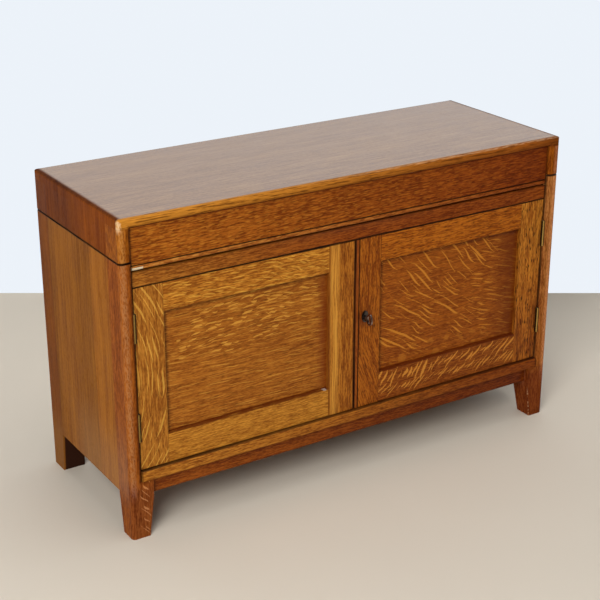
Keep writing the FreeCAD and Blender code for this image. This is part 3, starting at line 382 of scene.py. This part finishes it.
def plain_oak(node, grain, boards=1, shift=0):
    """Plain-sawn oak without polish: the rings stand in arches on each board of those glued edge to edge."""
    finish = Finish("plain_oak_" + node)
    along, across, deep, half = oak_frame(finish, node, grain)
    width = 2 * half[1] / boards
    number = finish.sum("FLOOR", across / width + boards / 2)
    off = across - (number + 0.5 - boards / 2) * width
    seed = GLUED_STEP * number + RING_STEP * shift
    sway = finish.noise(along / 420, off / 120, seed, 2.0) - 0.5
    heart = 25 + 0.05 * along + 120 * sway + deep
    rings = finish.noise(along / 700, finish.sum("SQRT", off * off + heart * heart) / 7, seed, 2.0, 0.65)
    fine = finish.noise(along / 40, off / 1.7, seed + deep / 1.7, 2.0)
    own = finish.noise(seed, 0.5, 0.5)
    light = 0.5 + 1.7 * (rings - 0.5) + 0.7 * (fine - 0.5) + 1.4 * (own - 0.5)
    colour = finish.mix(light, PLAIN_DARK, PLAIN_LIGHT)
    pore = finish.noise(along / 10, off / 1.8, seed + deep / 1.8, 1.0).rise(0.55, 0.70)
    pore = pore * rings.rise(0.60, 0.40)
    colour = finish.mix(pore * 0.45, colour, PORE_DARK)
    seam = (width / 2 - abs(off)).rise(1.4, 0.3) * 0.5
    colour = finish.mix(seam, colour, PORE_DARK)
    bump = finish.node("Bump", None, {"Strength": 0.3, "Distance": 0.0003, "Height": 1 - pore})
    shader = finish.node("BsdfPrincipled", None, {
        "Base Color": colour, "Roughness": 0.6 + 0.15 * fine, "Specular IOR Level": 0.15, "Normal": bump})
    finish.dress(shader, [node])


def lid_edges(finish, colour, coat):
    # The front half-round is golden with dark streaks, a painted shadow along its foot and a painted
    # highlight along its top arris, and the ends carry on the grain of the lid's sides, with painted shade
    # over their rounded top arris. On top the figure is strongest along the front.
    x, y, z = finish.place()
    colour = finish.mix(y.rise(-140, 110) * 0.4, colour, LID_BROWN)
    edge = y.rise(FRONT_FACE + 9, FRONT_FACE + 4)
    streak = finish.noise(x / 40, y / 2.2, z / 2.2, 3.0).rise(0.52, 0.60)
    light = finish.noise(x / 14, y / 1.8, z / 1.8, 1.0)
    golden = finish.mix(x.rise(-450, 450), NOSE_GOLD, NOSE_RED)
    golden = finish.mix(x.rise(370, 450) * 0.65, golden, NOSE_END)
    golden = finish.shaded(golden, 0.63 + 0.8 * light)
    golden = finish.mix(streak * 0.72, golden, NOSE_STREAK)
    # A painted shadow along the foot of the half-round.
    golden = finish.mix(z.rise(LID_BOARD + 2.4, LID_BOARD + 0.8) * 0.6, golden, RED_RUN_AND_SHADE)
    # A painted highlight along the half-round's top arris.
    arris = abs(z - LID_FACE + 1.5).rise(1.5, 0.3) * x.rise(-200, 200) * light.rise(0.35, 0.6)
    golden = finish.mix(arris * 0.35, golden, RUBBED_AND_HIGHLIGHT)
    end = abs(x).rise(SIDE_X - 12, SIDE_X - 4) * (1 - edge)
    along, across, deep, half = oak_frame(finish, "lid_side_left", "zy")
    side = finish.mix((across / (2 * half[1]) + 0.5).rise(0, 1), LID_SIDE, LID_SIDE_BACK)
    inside = deep + LOG_STEP * LID_SIDE_SHIFT
    side, _ = oak_grain(finish, along, across, inside, side, LID_SIDE_BANDS, LID_SIDE_STREAKS,
                        run=LONG_STREAKS)
    side, _ = lid_staves(finish, side, coat)
    # Painted shade over the ends' rounded top arris.
    side = finish.shaded(side, 1 - 0.5 * z.rise(LID_FACE - 5, LID_FACE - 1))
    colour = finish.mix(end, finish.mix(edge, colour, golden), side)
    coat = coat * (1 - edge.most(end)) * z.rise(LID_FACE - 5, LID_FACE - 1.5)
    return finish.mix(worn_corner(finish), colour, RUBBED_AND_HIGHLIGHT), coat


def worn_corner(finish):
    """Where the lid's front left corner is worn pale."""
    x, y, z = finish.place()
    ragged = finish.noise(x / 2.5, y / 2.5, z / 5, 2.0) - 0.5
    out = (x + SIDE_X) + (y - FRONT_FACE) + 7 * ragged
    return out.rise(7.0, 4.0) * z.rise(LID_FACE - 27, LID_FACE - 12) * 0.85


def bead_and_chip(finish, colour, coat):
    # Painted shade in the groove over the lid front's bead, a painted highlight along the bead, a painted
    # shadow under the lid's half-round, and the bead has lost a chip at its left end.
    x, y, z = finish.place()
    # Painted shade in the groove over the bead.
    quirk_shade = abs(z - LID_QUIRK).rise(2.0, 0.8) * 0.8
    # A painted highlight along the bead.
    bead = z.rise(LID_QUIRK, LID_QUIRK - 1.5)
    colour = finish.mix(bead * 0.5, colour, finish.tinted(colour, BEAD_HIGHLIGHT_GAIN))
    ragged = finish.noise(x / 3, y / 3, z / 3, 1.0)
    front = y.rise(DOOR_FACE + 5, DOOR_FACE + 3)
    chip = (x + 5 * ragged).rise(BEAD_CHIP_END + 3, BEAD_CHIP_END)
    chip = chip * abs(z - BEAD_FOOT - 2.6).rise(3.0, 2.0) * front
    # A painted shadow along the top of the board, under the lid's half-round.
    colour = finish.mix(z.rise(LID_BOARD - 3.0, LID_BOARD - 1.0) * 0.6, colour, RED_RUN_AND_SHADE)
    return finish.mix(chip, finish.mix(quirk_shade, colour, GAP_SHADE), CHIP_PALE), coat


def rail_shadow(finish, colour, coat):
    # Painted shadow: the top rail is greyest in the middle, under the lid's bead.
    x, _, z = finish.place()
    lid_shadow = abs(x + 10).rise(260, 40) * z.rise(DOOR_TOP + 3, LID_LINE)
    return finish.mix(lid_shadow * 0.5, colour, RAIL_SHADOW), coat


def door_bead(finish, colour, coat):
    # A redder bead on the front of the right door's meeting edge, painted shade in the groove beside it, and
    # dirt round the key.
    x, y, z = finish.place()
    front = y.rise(DOOR_FACE + 5, DOOR_FACE + 3)
    bead = x.rise(DOOR_QUIRK, DOOR_QUIRK - 1) * front
    colour = finish.mix(bead * 0.6, colour, DOOR_BEAD_RED)
    aside, up = x - KEY_X, z - KEY_Z
    handled = finish.sum("SQRT", aside * aside + up * up).rise(26, 8) * front
    colour = finish.mix(handled * 0.6, colour, HANDLED_DARK)
    # Painted shade in the groove beside the bead.
    groove_shade = abs(x - DOOR_QUIRK).rise(1.8, 0.6) * front
    return finish.mix(groove_shade * 0.9, colour, GAP_SHADE), coat


def pale_band(finish, colour, coat):
    # Sapwood down the left side of the left door's meeting stile, and long fine lines all over it.
    x, y, z = finish.place()
    low = low_mm("left_door_meeting_stile")
    across = x - low.x + 7 * finish.noise(x / 40, y / 40, z / 110, 1.0)
    lines = finish.noise(across / 3.2, y / 9, z / 170, 2.0, 0.7)
    band = abs(across - 16).rise(15, 2)
    colour = finish.mix(lines.rise(0.5, 0.66) * (0.55 - 0.35 * band), colour, STILE_LINE)
    colour = finish.mix(band * (0.25 + 0.7 * lines.rise(0.58, 0.40)), colour, SAPWOOD)
    edge = (x - low.x).rise(5, 1)
    return finish.mix(edge * 0.55, colour, STILE_EDGE), coat


def dark_edge(finish, colour, coat):
    # The right door's hinge stile darkens to its outer edge and to its foot, in long streaks.
    x, y, z = finish.place()
    outer = (high_mm("right_door_hinge_stile").x - x).rise(28, 4)
    streak = finish.noise(x / 3.0, y / 9, z / 85, 2.0).rise(0.44, 0.64)
    amount = (0.2 + 0.5 * outer + 0.45 * z.rise(290, 150)).least(0.85)
    return finish.mix(amount * (0.2 + 0.8 * streak), colour, STILE_DARK), coat


def rail_arris(node, chip=None):
    """Red polish that has run along the upper edge of a door's bottom rail, and a pale chip out of it."""
    top = high_mm(node).z

    def run(finish, colour, coat):
        x, y, z = finish.place()
        drops = finish.noise(x / 22, y / 22, 0.0, 2.0)
        colour = finish.mix((z + 4 * drops).rise(top + 0.5, top + 2.2) * 0.8, colour, RED_RUN_AND_SHADE)
        if chip:
            ragged = 4 * finish.noise(x / 3, y / 3, z / 3, 1.0)
            bare = (abs(x - chip) + ragged).rise(6.5, 4.5) * (top - z + 0.5 * ragged).rise(3.0, 1.8)
            colour = finish.mix(bare * 0.65, colour, CHIP_GREY)
        return colour, coat

    return run


def lid_staves(finish, colour, coat):
    # The lid's sides are darkest round the middle.
    _, y, _ = finish.place()
    level = 1.07 - 0.17 * y.rise(-30, 40) + 0.16 * y.rise(85, 125)
    return finish.shaded(colour, level), coat


def side_staves(finish, colour, coat):
    # The side is glued up from staves of different tone, and dusty low down in front.
    _, y, z = finish.place()
    level = 1.1 - 0.28 * y.rise(-48, -45) + 0.1 * y.rise(10, 45) - 0.12 * y.rise(95, 120)
    dust = z.rise(230, 90) * y.rise(90, 0)
    return finish.mix(dust * 0.14, finish.shaded(colour, level), SIDE_DUST), coat


def strip_highlight_and_shade(side, highlight_tone, amount, inner_shade_amount, foot_tone, scuffed=0.0):
    """A painted highlight along the half-round strip, painted shade on its inner side, a darker foot with
    painted shade on its inner face, and its scuffed edge.

    The side is -1 for left and 1 for right.
    """

    def highlight_and_shade(finish, colour, coat):
        x, y, z = finish.place()
        front = y.rise(FRONT_FACE + 12, FRONT_FACE + 5)
        patch = finish.noise(x / 1.8, y / 1.8, z / 6, 2.0).rise(0.38, 0.62)
        # A painted highlight along the strip's round.
        crown_highlight = abs(side * x - SIDE_X + 6).rise(9, 1) * front * (0.25 + 0.85 * patch)
        crown_highlight = crown_highlight * z.rise(NOSING_FOOT - 40, NOSING_FOOT)
        # Painted shade along the strip's inner side, beside the door.
        inner_shade = (side * x).rise(SIDE_X - 12, SIDE_X - 21) * front * z.rise(NOSING_FOOT - 8, NOSING_FOOT + 4)
        colour = finish.mix(crown_highlight * amount, colour, highlight_tone)
        colour = finish.mix(inner_shade * inner_shade_amount * (0.65 + 0.6 * patch), colour, STRIP_SHADE)
        # The foot is darker, most on its front and its inner face; on the inner face the darkness is painted
        # shade under the apron.
        inward = (side * x).rise(SIDE_X - 20, SIDE_X - 25)
        foot = z.rise(NOSING_FOOT + 12, NOSING_FOOT - 20) * (0.25 + 0.75 * front.most(inward))
        dust = z.rise(240, 110) * z.rise(50, 100) * (1 - front)
        colour = finish.mix(dust * 0.18, colour, POST_DUST)
        colour = finish.mix(foot * 0.8, colour, finish.tinted(colour, foot_tone))
        arris = SIDE_X - FOOT_WIDTH - FOOT_TAPER * z
        scuff = abs(side * x - arris).rise(1.8, 0.6) * y.rise(FRONT_FACE + 2.5, FRONT_FACE + 1)
        scuff = scuff * finish.noise(x / 9, y / 9, z / 4, 1.0).rise(0.5, 0.6) * z.rise(70, 50)
        colour = finish.mix(scuff * scuffed, colour, RUBBED_AND_HIGHLIGHT)
        return finish.mix(worn_corner(finish), colour, RUBBED_AND_HIGHLIGHT), coat

    return highlight_and_shade


def back_foot(finish, colour, coat):
    # The foot is dusty outside, and its inner faces, under the chest, carry painted shade.
    x, y, z = finish.place()
    inner_face = low_mm("back_post_left").y
    # Painted shade on the inner faces, under the chest.
    shaded_inner = y.rise(inner_face + 14, inner_face + 8) * z.rise(110, 90)
    outside = abs(x).rise(SIDE_X - 5, SIDE_X - 2)
    colour = finish.mix(z.rise(130, 60) * outside * 0.7, colour, FOOT_DUST)
    return finish.mix(shaded_inner * (1 - outside), colour, FOOT_SHADE), coat


def panel_edges(rail_below, rail_above, stile_left, stile_right, right_tone, right_reach):
    """Painted shade cast by the rails and stiles along the top and left edges of a door panel, a dark band
    along its right edge and a dark red line along its foot.
    """
    low_x, high_x = high_mm(stile_left).x, low_mm(stile_right).x
    low_z, high_z = high_mm(rail_below).z, low_mm(rail_above).z

    def darken(finish, colour, coat):
        x, y, z = finish.place()
        patch = finish.noise(x / 25, y / 25, z / 25, 2.0)
        colour = finish.mix((high_x - x).rise(right_reach, 3) * (0.3 + 0.8 * patch), colour, right_tone)
        # Painted shade cast by the rails and stiles along the panel's top and left edges.
        rail_shade = (x - low_x).least(high_z - z).rise(11, 1) * (0.15 + 0.6 * patch)
        line = (z - low_z - 5 * patch).rise(1.5, -0.5) * 0.85
        colour = finish.mix(rail_shade, colour, PANEL_SHADE)
        return finish.mix(line, colour, RED_RUN_AND_SHADE), coat

    return darken


polished_oak("lid_top", "xy", LID_BROWN, bands=0.5, clouds=0.2, streaks=0.55, run=LID_STREAKS, dashes=0.12,
             grime=0, gaps=False, coat=1.0, specular=0.02, change=lid_edges)
# The tone darkens from left to right: painted falloff of the light from the left.
polished_oak("lid_front", "xz", (0.29, 0.075, 0.005), (0.205, 0.037, 0.002), shift=1, change=bead_and_chip,
             flecks=[Flecks(18, 4.2, 7, 1.2, -3, light=0.4, patch=(-130, 0, 520, 60))])
# The tone darkens from left to right: painted falloff of the light from the left.
polished_oak("front_top_rail", "xz", (0.335, 0.113, 0.012), (0.235, 0.049, 0.0036), far_from=0.5, shift=2,
             bands=0.7, change=rail_shadow)
# The tone darkens from left to right: painted falloff of the light from the left.
polished_oak("front_nosing", "xz", (0.40, 0.140, 0.014), DARK_RED, shift=3)
# The tone darkens from left to right: painted falloff of the light from the left.
polished_oak("front_apron", "xz", (0.245, 0.057, 0.005), (0.16, 0.028, 0.002), shift=4, bands=0.7)

LEFT_FRONT_SHIFT = 11
RIGHT_FRONT_SHIFT = 31
AS_IT_IS = (1, 1, 1)
left_foot = Flecks(6, 7.5, 15, 1.6, 35, wind=3, light=0.9, patch=(-200, 5, 66, 60), comb=True)
polished_oak("front_post_left", "zx", (0.285, 0.070, 0.007), shift=LEFT_FRONT_SHIFT, grime=0, specular=0.03,
             flecks=[left_foot], ray_gain=FOOT_RAY_GAIN, dashes=0.18, streaks=0.85,
             change=strip_highlight_and_shade(-1, (0.40, 0.165, 0.055), amount=0.8, inner_shade_amount=0.75,
                                foot_tone=(0.62, 0.64, 1.5)))
polished_oak("lid_front_post_left", "zx", (0.29, 0.077, 0.005), shift=LEFT_FRONT_SHIFT, grime=0,
             specular=0.03,
             change=strip_highlight_and_shade(-1, (0.46, 0.19, 0.04), amount=0.8, inner_shade_amount=0.75, foot_tone=AS_IT_IS))
# The right post is lighter towards the top: painted reflection of the bright room on its round strip.
polished_oak("front_post_right", "zx", (0.30, 0.078, 0.010), (0.43, 0.155, 0.035), shift=RIGHT_FRONT_SHIFT,
             grime=0, specular=0.03,
             change=strip_highlight_and_shade(1, (0.69, 0.28, 0.105), amount=0.8, inner_shade_amount=0.35,
                                foot_tone=(0.52, 0.36, 0.5), scuffed=0.5))
polished_oak("lid_front_post_right", "zx", RUSSET, shift=RIGHT_FRONT_SHIFT, grime=0, specular=0.03,
             change=strip_highlight_and_shade(1, PINK_HIGHLIGHT, amount=0.75, inner_shade_amount=0.2, foot_tone=AS_IT_IS))
for hand, shift in (("left", 10), ("right", 30)):
    polished_oak("back_post_" + hand, "zy", BACK_BROWN, shift=shift + 2, streaks=0.5, run=LONG_STREAKS,
                 dashes=0.1, specular=0.03, change=back_foot)
    polished_oak("lid_back_post_" + hand, "zy", LID_SIDE_BACK, shift=shift + 2, streaks=0.5, run=LONG_STREAKS,
                 dashes=0.1, specular=0.03)
    polished_oak("side_board_" + hand, "zy", TAN, shift=shift + 3, bands=0.5, streaks=0.42, run=LONG_STREAKS,
                 dashes=0.1, specular=0.03, change=side_staves)
    polished_oak("lid_side_" + hand, "zy", LID_SIDE, LID_SIDE_BACK, "across", shift=LID_SIDE_SHIFT,
                 bands=LID_SIDE_BANDS, streaks=LID_SIDE_STREAKS, run=LONG_STREAKS, dashes=0.1, specular=0.02,
                 change=lid_staves)

polished_oak("left_door_hinge_stile", "zx", (0.37, 0.130, 0.014), shift=5, streaks=0.8, bands=0.4,
             flecks=[Flecks(70, 9, 34, 1.7, -3, 0.0022, wind=5, light=0.58)])
polished_oak("left_door_meeting_stile", "zx", (0.37, 0.117, 0.010), shift=6, bands=0.6, change=pale_band)
polished_oak("left_door_top_rail", "xz", (0.41, 0.142, 0.013), shift=7, bands=0.4, flecks=[
    Flecks(30, 6.5, 13, 1.2, -2, wind=3, light=0.5),
    Flecks(34, 9, 15, 1.5, 17, wind=3, light=0.45, patch=(98, 0, 60, 30))])
polished_oak("left_door_bottom_rail", "xz", (0.45, 0.172, 0.017), shift=8, bands=0.3, streaks=0.8,
             change=rail_arris("left_door_bottom_rail", chip=RAIL_CHIP_X))
left_panel_edges = panel_edges("left_door_bottom_rail", "left_door_top_rail", "left_door_hinge_stile",
                               "left_door_meeting_stile", right_tone=(0.17, 0.028, 0.003), right_reach=28)
polished_oak("left_door_panel", "xz", (0.34, 0.106, 0.010), shift=9, bands=0.25, streaks=0.75,
             change=left_panel_edges, flecks=[
    Flecks(25, 8.5, 12, 1.9, -14, wind=4, light=0.75, patch=(-19, 62, 100, 62)),
    Flecks(30, 9, 13, 1.8, 2, wind=4, light=0.7, patch=(92, 66, 70, 42)),
    Flecks(20, 7, 9, 1.7, light=0.6, patch=(-134, 31, 40, 24)),
    Flecks(56, 8, 24, 0.9, -3, wind=3, light=0.5)])

polished_oak("right_door_hinge_stile", "zx", (0.40, 0.11, 0.009), (0.49, 0.168, 0.015), shift=13, bands=1.2,
             streaks=1.1, dashes=0.95, change=dark_edge)
polished_oak("right_door_meeting_stile", "zx", RED, shift=12, bands=0.9, streaks=1.3, dashes=0.5, lean=-0.3,
             change=door_bead)
polished_oak("right_door_top_rail", "xz", (0.365, 0.095, 0.005), shift=17, bands=0.3, dashes=0.6)
polished_oak("right_door_bottom_rail", "xz", (0.245, 0.058, 0.005), shift=14, bands=0.3,
             change=rail_arris("right_door_bottom_rail"), ray_gain=RAIL_RAY_GAIN, flecks=[
    Flecks(9, 11, 20, 3.2, -68, wind=8, light=0.95, patch=(-100, 15, 95, 70), comb=True),
    Flecks(10, 11, 24, 2.4, -52, wind=9, light=0.95, patch=(90, 14, 140, 70), comb=True),
    Flecks(10, 7.5, 17, 1.9, -46, wind=5, light=0.85, patch=(0, -10, 400, 70), comb=True)])
right_panel_edges = panel_edges("right_door_bottom_rail", "right_door_top_rail", "right_door_meeting_stile",
                                "right_door_hinge_stile", right_tone=(0.12, 0.020, 0.002), right_reach=80)
polished_oak("right_door_panel", "xz", (0.295, 0.072, 0.005), shift=15, bands=0.25, streaks=0.7, dashes=0.25,
             change=right_panel_edges, flecks=[
    Flecks(80, 11, 36, 1.8, 46, wind=7, light=0.9, patch=(-35, 78, 165, 56)),
    Flecks(88, 10.5, 41, 1.8, 29, wind=8, light=0.9, patch=(-60, -32, 140, 64)),
    Flecks(54, 9, 22, 1.5, 12, wind=3, light=0.85, patch=(120, 5, 66, 110)),
    Flecks(44, 30, 13, 8.0, 60, light=0.3, patch=(-40, -92, 150, 20)),
    Flecks(28, 10, 8, 1.0, 20, light=0.4)])

plain_oak("back_panel", "xz", boards=3, shift=1)
plain_oak("floor_board", "xy", boards=3, shift=2)
long_boards = ("lid_back", "back_top_rail", "back_bottom_rail", "floor_bearer_front", "floor_bearer_back")
for shift, node in enumerate(long_boards, start=3):
    plain_oak(node, "xz", shift=shift)
for shift, node in enumerate(("floor_bearer_left", "floor_bearer_right"), start=8):
    plain_oak(node, "yz", shift=shift)
plain_oak("door_stop", "zx", shift=10)


# Fittings

def aged_metal(name, bright, dull, rough, nodes, highlight_at=None):
    """Metal that is bright in spots where it is rubbed, and, given a line that far from the middle, a painted
    highlight along it with painted shade beside it.

    Such a highlight is weaker on the left.
    """
    finish = Finish(name)
    x, y, z = finish.place()
    tarnish_and_shade = finish.noise(x / 9, y / 9, z / 9, 3.0, 0.55).rise(0.3, 0.7)
    if highlight_at:
        # A painted highlight along the knuckle's line, weaker on the left, with painted shade beside it.
        line = abs(abs(x + 1.0) - highlight_at).rise(0.5, 1.7)
        tarnish_and_shade = (0.4 * tarnish_and_shade).most(line).most(0.55 * x.rise(10, -10))
    colour = finish.mix(tarnish_and_shade, bright, dull)
    shader = finish.node("BsdfPrincipled", None, {
        "Base Color": colour, "Metallic": 1.0, "Roughness": rough + 0.25 * tarnish_and_shade})
    finish.dress(shader, nodes)


pieces = list(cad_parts)
lid_hinges_and_screws = [piece for piece in pieces if "lid_hinge" in piece or "screws" in piece]
door_hinge_leaves = [piece for piece in pieces if "door_hinge" in piece and "leaves" in piece]
hinge_pins = [piece for piece in pieces if "pins" in piece]
lock_and_bolt = ["lock_case", "lock_bolt", "bolt_plate", "bolt_rod", "bolt_knob"]
aged_metal("aged_brass", bright=(0.42, 0.26, 0.085), dull=(0.17, 0.10, 0.035), rough=0.38,
           nodes=lid_hinges_and_screws)
aged_metal("door_hinge_brass", bright=(0.72, 0.45, 0.12), dull=(0.03, 0.016, 0.007), rough=0.42,
           nodes=door_hinge_leaves, highlight_at=DOOR_OUT + HALF_GAP)
aged_metal("dull_steel", bright=(0.35, 0.33, 0.30), dull=(0.08, 0.06, 0.05), rough=0.4, nodes=hinge_pins)
aged_metal("lock_iron", bright=(0.11, 0.10, 0.09), dull=(0.045, 0.037, 0.030), rough=0.35,
           nodes=lock_and_bolt)
aged_metal("dark_plate", bright=(0.12, 0.10, 0.09), dull=(0.02, 0.015, 0.013), rough=0.25,
           nodes=["escutcheon"])
aged_metal("key_bronze", bright=(0.42, 0.30, 0.24), dull=(0.09, 0.048, 0.036), rough=0.25, nodes=["key"])


# Room, light and camera

def room_plane(name, corners, material):
    mesh = bpy.data.meshes.new(name)
    mesh.from_pydata(corners, [], [(0, 1, 2, 3)])
    mesh.materials.append(material)
    plane = bpy.data.objects.new(name, mesh)
    bpy.context.scene.collection.objects.link(plane)


def floor_finish():
    finish = Finish("pale_floor")
    x, y, z = finish.place()
    tone = finish.noise(x / 400, y / 400, z / 400, 2.0)
    colour = finish.shaded(FLOOR_PALE, 0.97 + 0.06 * tone)
    return finish.surface(finish.node("BsdfPrincipled", None, {
        "Base Color": colour, "Roughness": 0.6, "Specular IOR Level": 0.2}))


def wall_finish():
    # The wall glows evenly for the eye and for reflections, and can be looked through from behind.
    finish = Finish("pale_wall")
    seen = finish.node("LightPath", out="Is Camera Ray")
    shiny = seen.of("Is Glossy Ray")
    through = seen.of("Is Transmission Ray")
    behind = finish.node("NewGeometry", out="Backfacing")
    lit = finish.node("BsdfDiffuse", None, {0: WALL_PALE})
    glow = finish.node("Emission", None, {0: WALL_PALE, 1: 1.0})
    wall = finish.node("MixShader", None, {0: seen.most(shiny).most(through), 1: lit, 2: glow})
    clear = finish.node("BsdfTransparent")
    return finish.surface(finish.node("MixShader", None, {0: behind, 1: wall, 2: clear}))


turn = math.radians(CAMERA_TURN)
away = Vector((-math.sin(turn), math.cos(turn), 0))
sideways = Vector((math.cos(turn), math.sin(turn), 0))
foot = away * WALL_BEHIND
room_plane("pale_floor", [(-ROOM_SPREAD, -ROOM_SPREAD, 0), (ROOM_SPREAD, -ROOM_SPREAD, 0),
                          (ROOM_SPREAD, ROOM_SPREAD, 0), (-ROOM_SPREAD, ROOM_SPREAD, 0)], floor_finish())
left, right = foot - sideways * ROOM_SPREAD, foot + sideways * ROOM_SPREAD
rise = Vector((0, 0, WALL_HEIGHT))
room_plane("pale_wall", [left, right, right + rise, left + rise], wall_finish())


def soft_lamp(name, place, aim, size, power):
    lamp = bpy.data.lights.new(name, "AREA")
    lamp.shape = "DISK"
    lamp.size = size
    lamp.energy = power
    holder = bpy.data.objects.new(name, lamp)
    holder.location = place
    holder.rotation_euler = (Vector(aim) - Vector(place)).to_track_quat("-Z", "Y").to_euler()
    bpy.context.scene.collection.objects.link(holder)


soft_lamp("window_lamp", place=(-2.2, -2.0, 2.0), aim=(-0.1, 0, 0.3), size=1.6, power=86)
soft_lamp("ceiling_lamp", place=(0.2, -0.6, 3.0), aim=(0, 0, 0.3), size=2.0, power=28)

world = bpy.data.worlds.new("room_light")
world.use_nodes = True
background = world.node_tree.nodes["Background"]
background.inputs["Color"].default_value = ROOM_LIGHT
background.inputs["Strength"].default_value = ROOM_LIGHT_STRENGTH
bpy.context.scene.world = world

view = bpy.data.cameras.new("view")
view.lens = LENS_IN_PIXELS / PICTURE_WIDTH * SENSOR_WIDTH
view.sensor_width = SENSOR_WIDTH
camera = bpy.data.objects.new("view", view)
camera.location = CAMERA_PLACE
camera.rotation_euler = (math.radians(90 - CAMERA_TILT), 0, turn)
bpy.context.scene.collection.objects.link(camera)
bpy.context.scene.camera = camera
bpy.context.scene.view_settings.view_transform = "Standard"
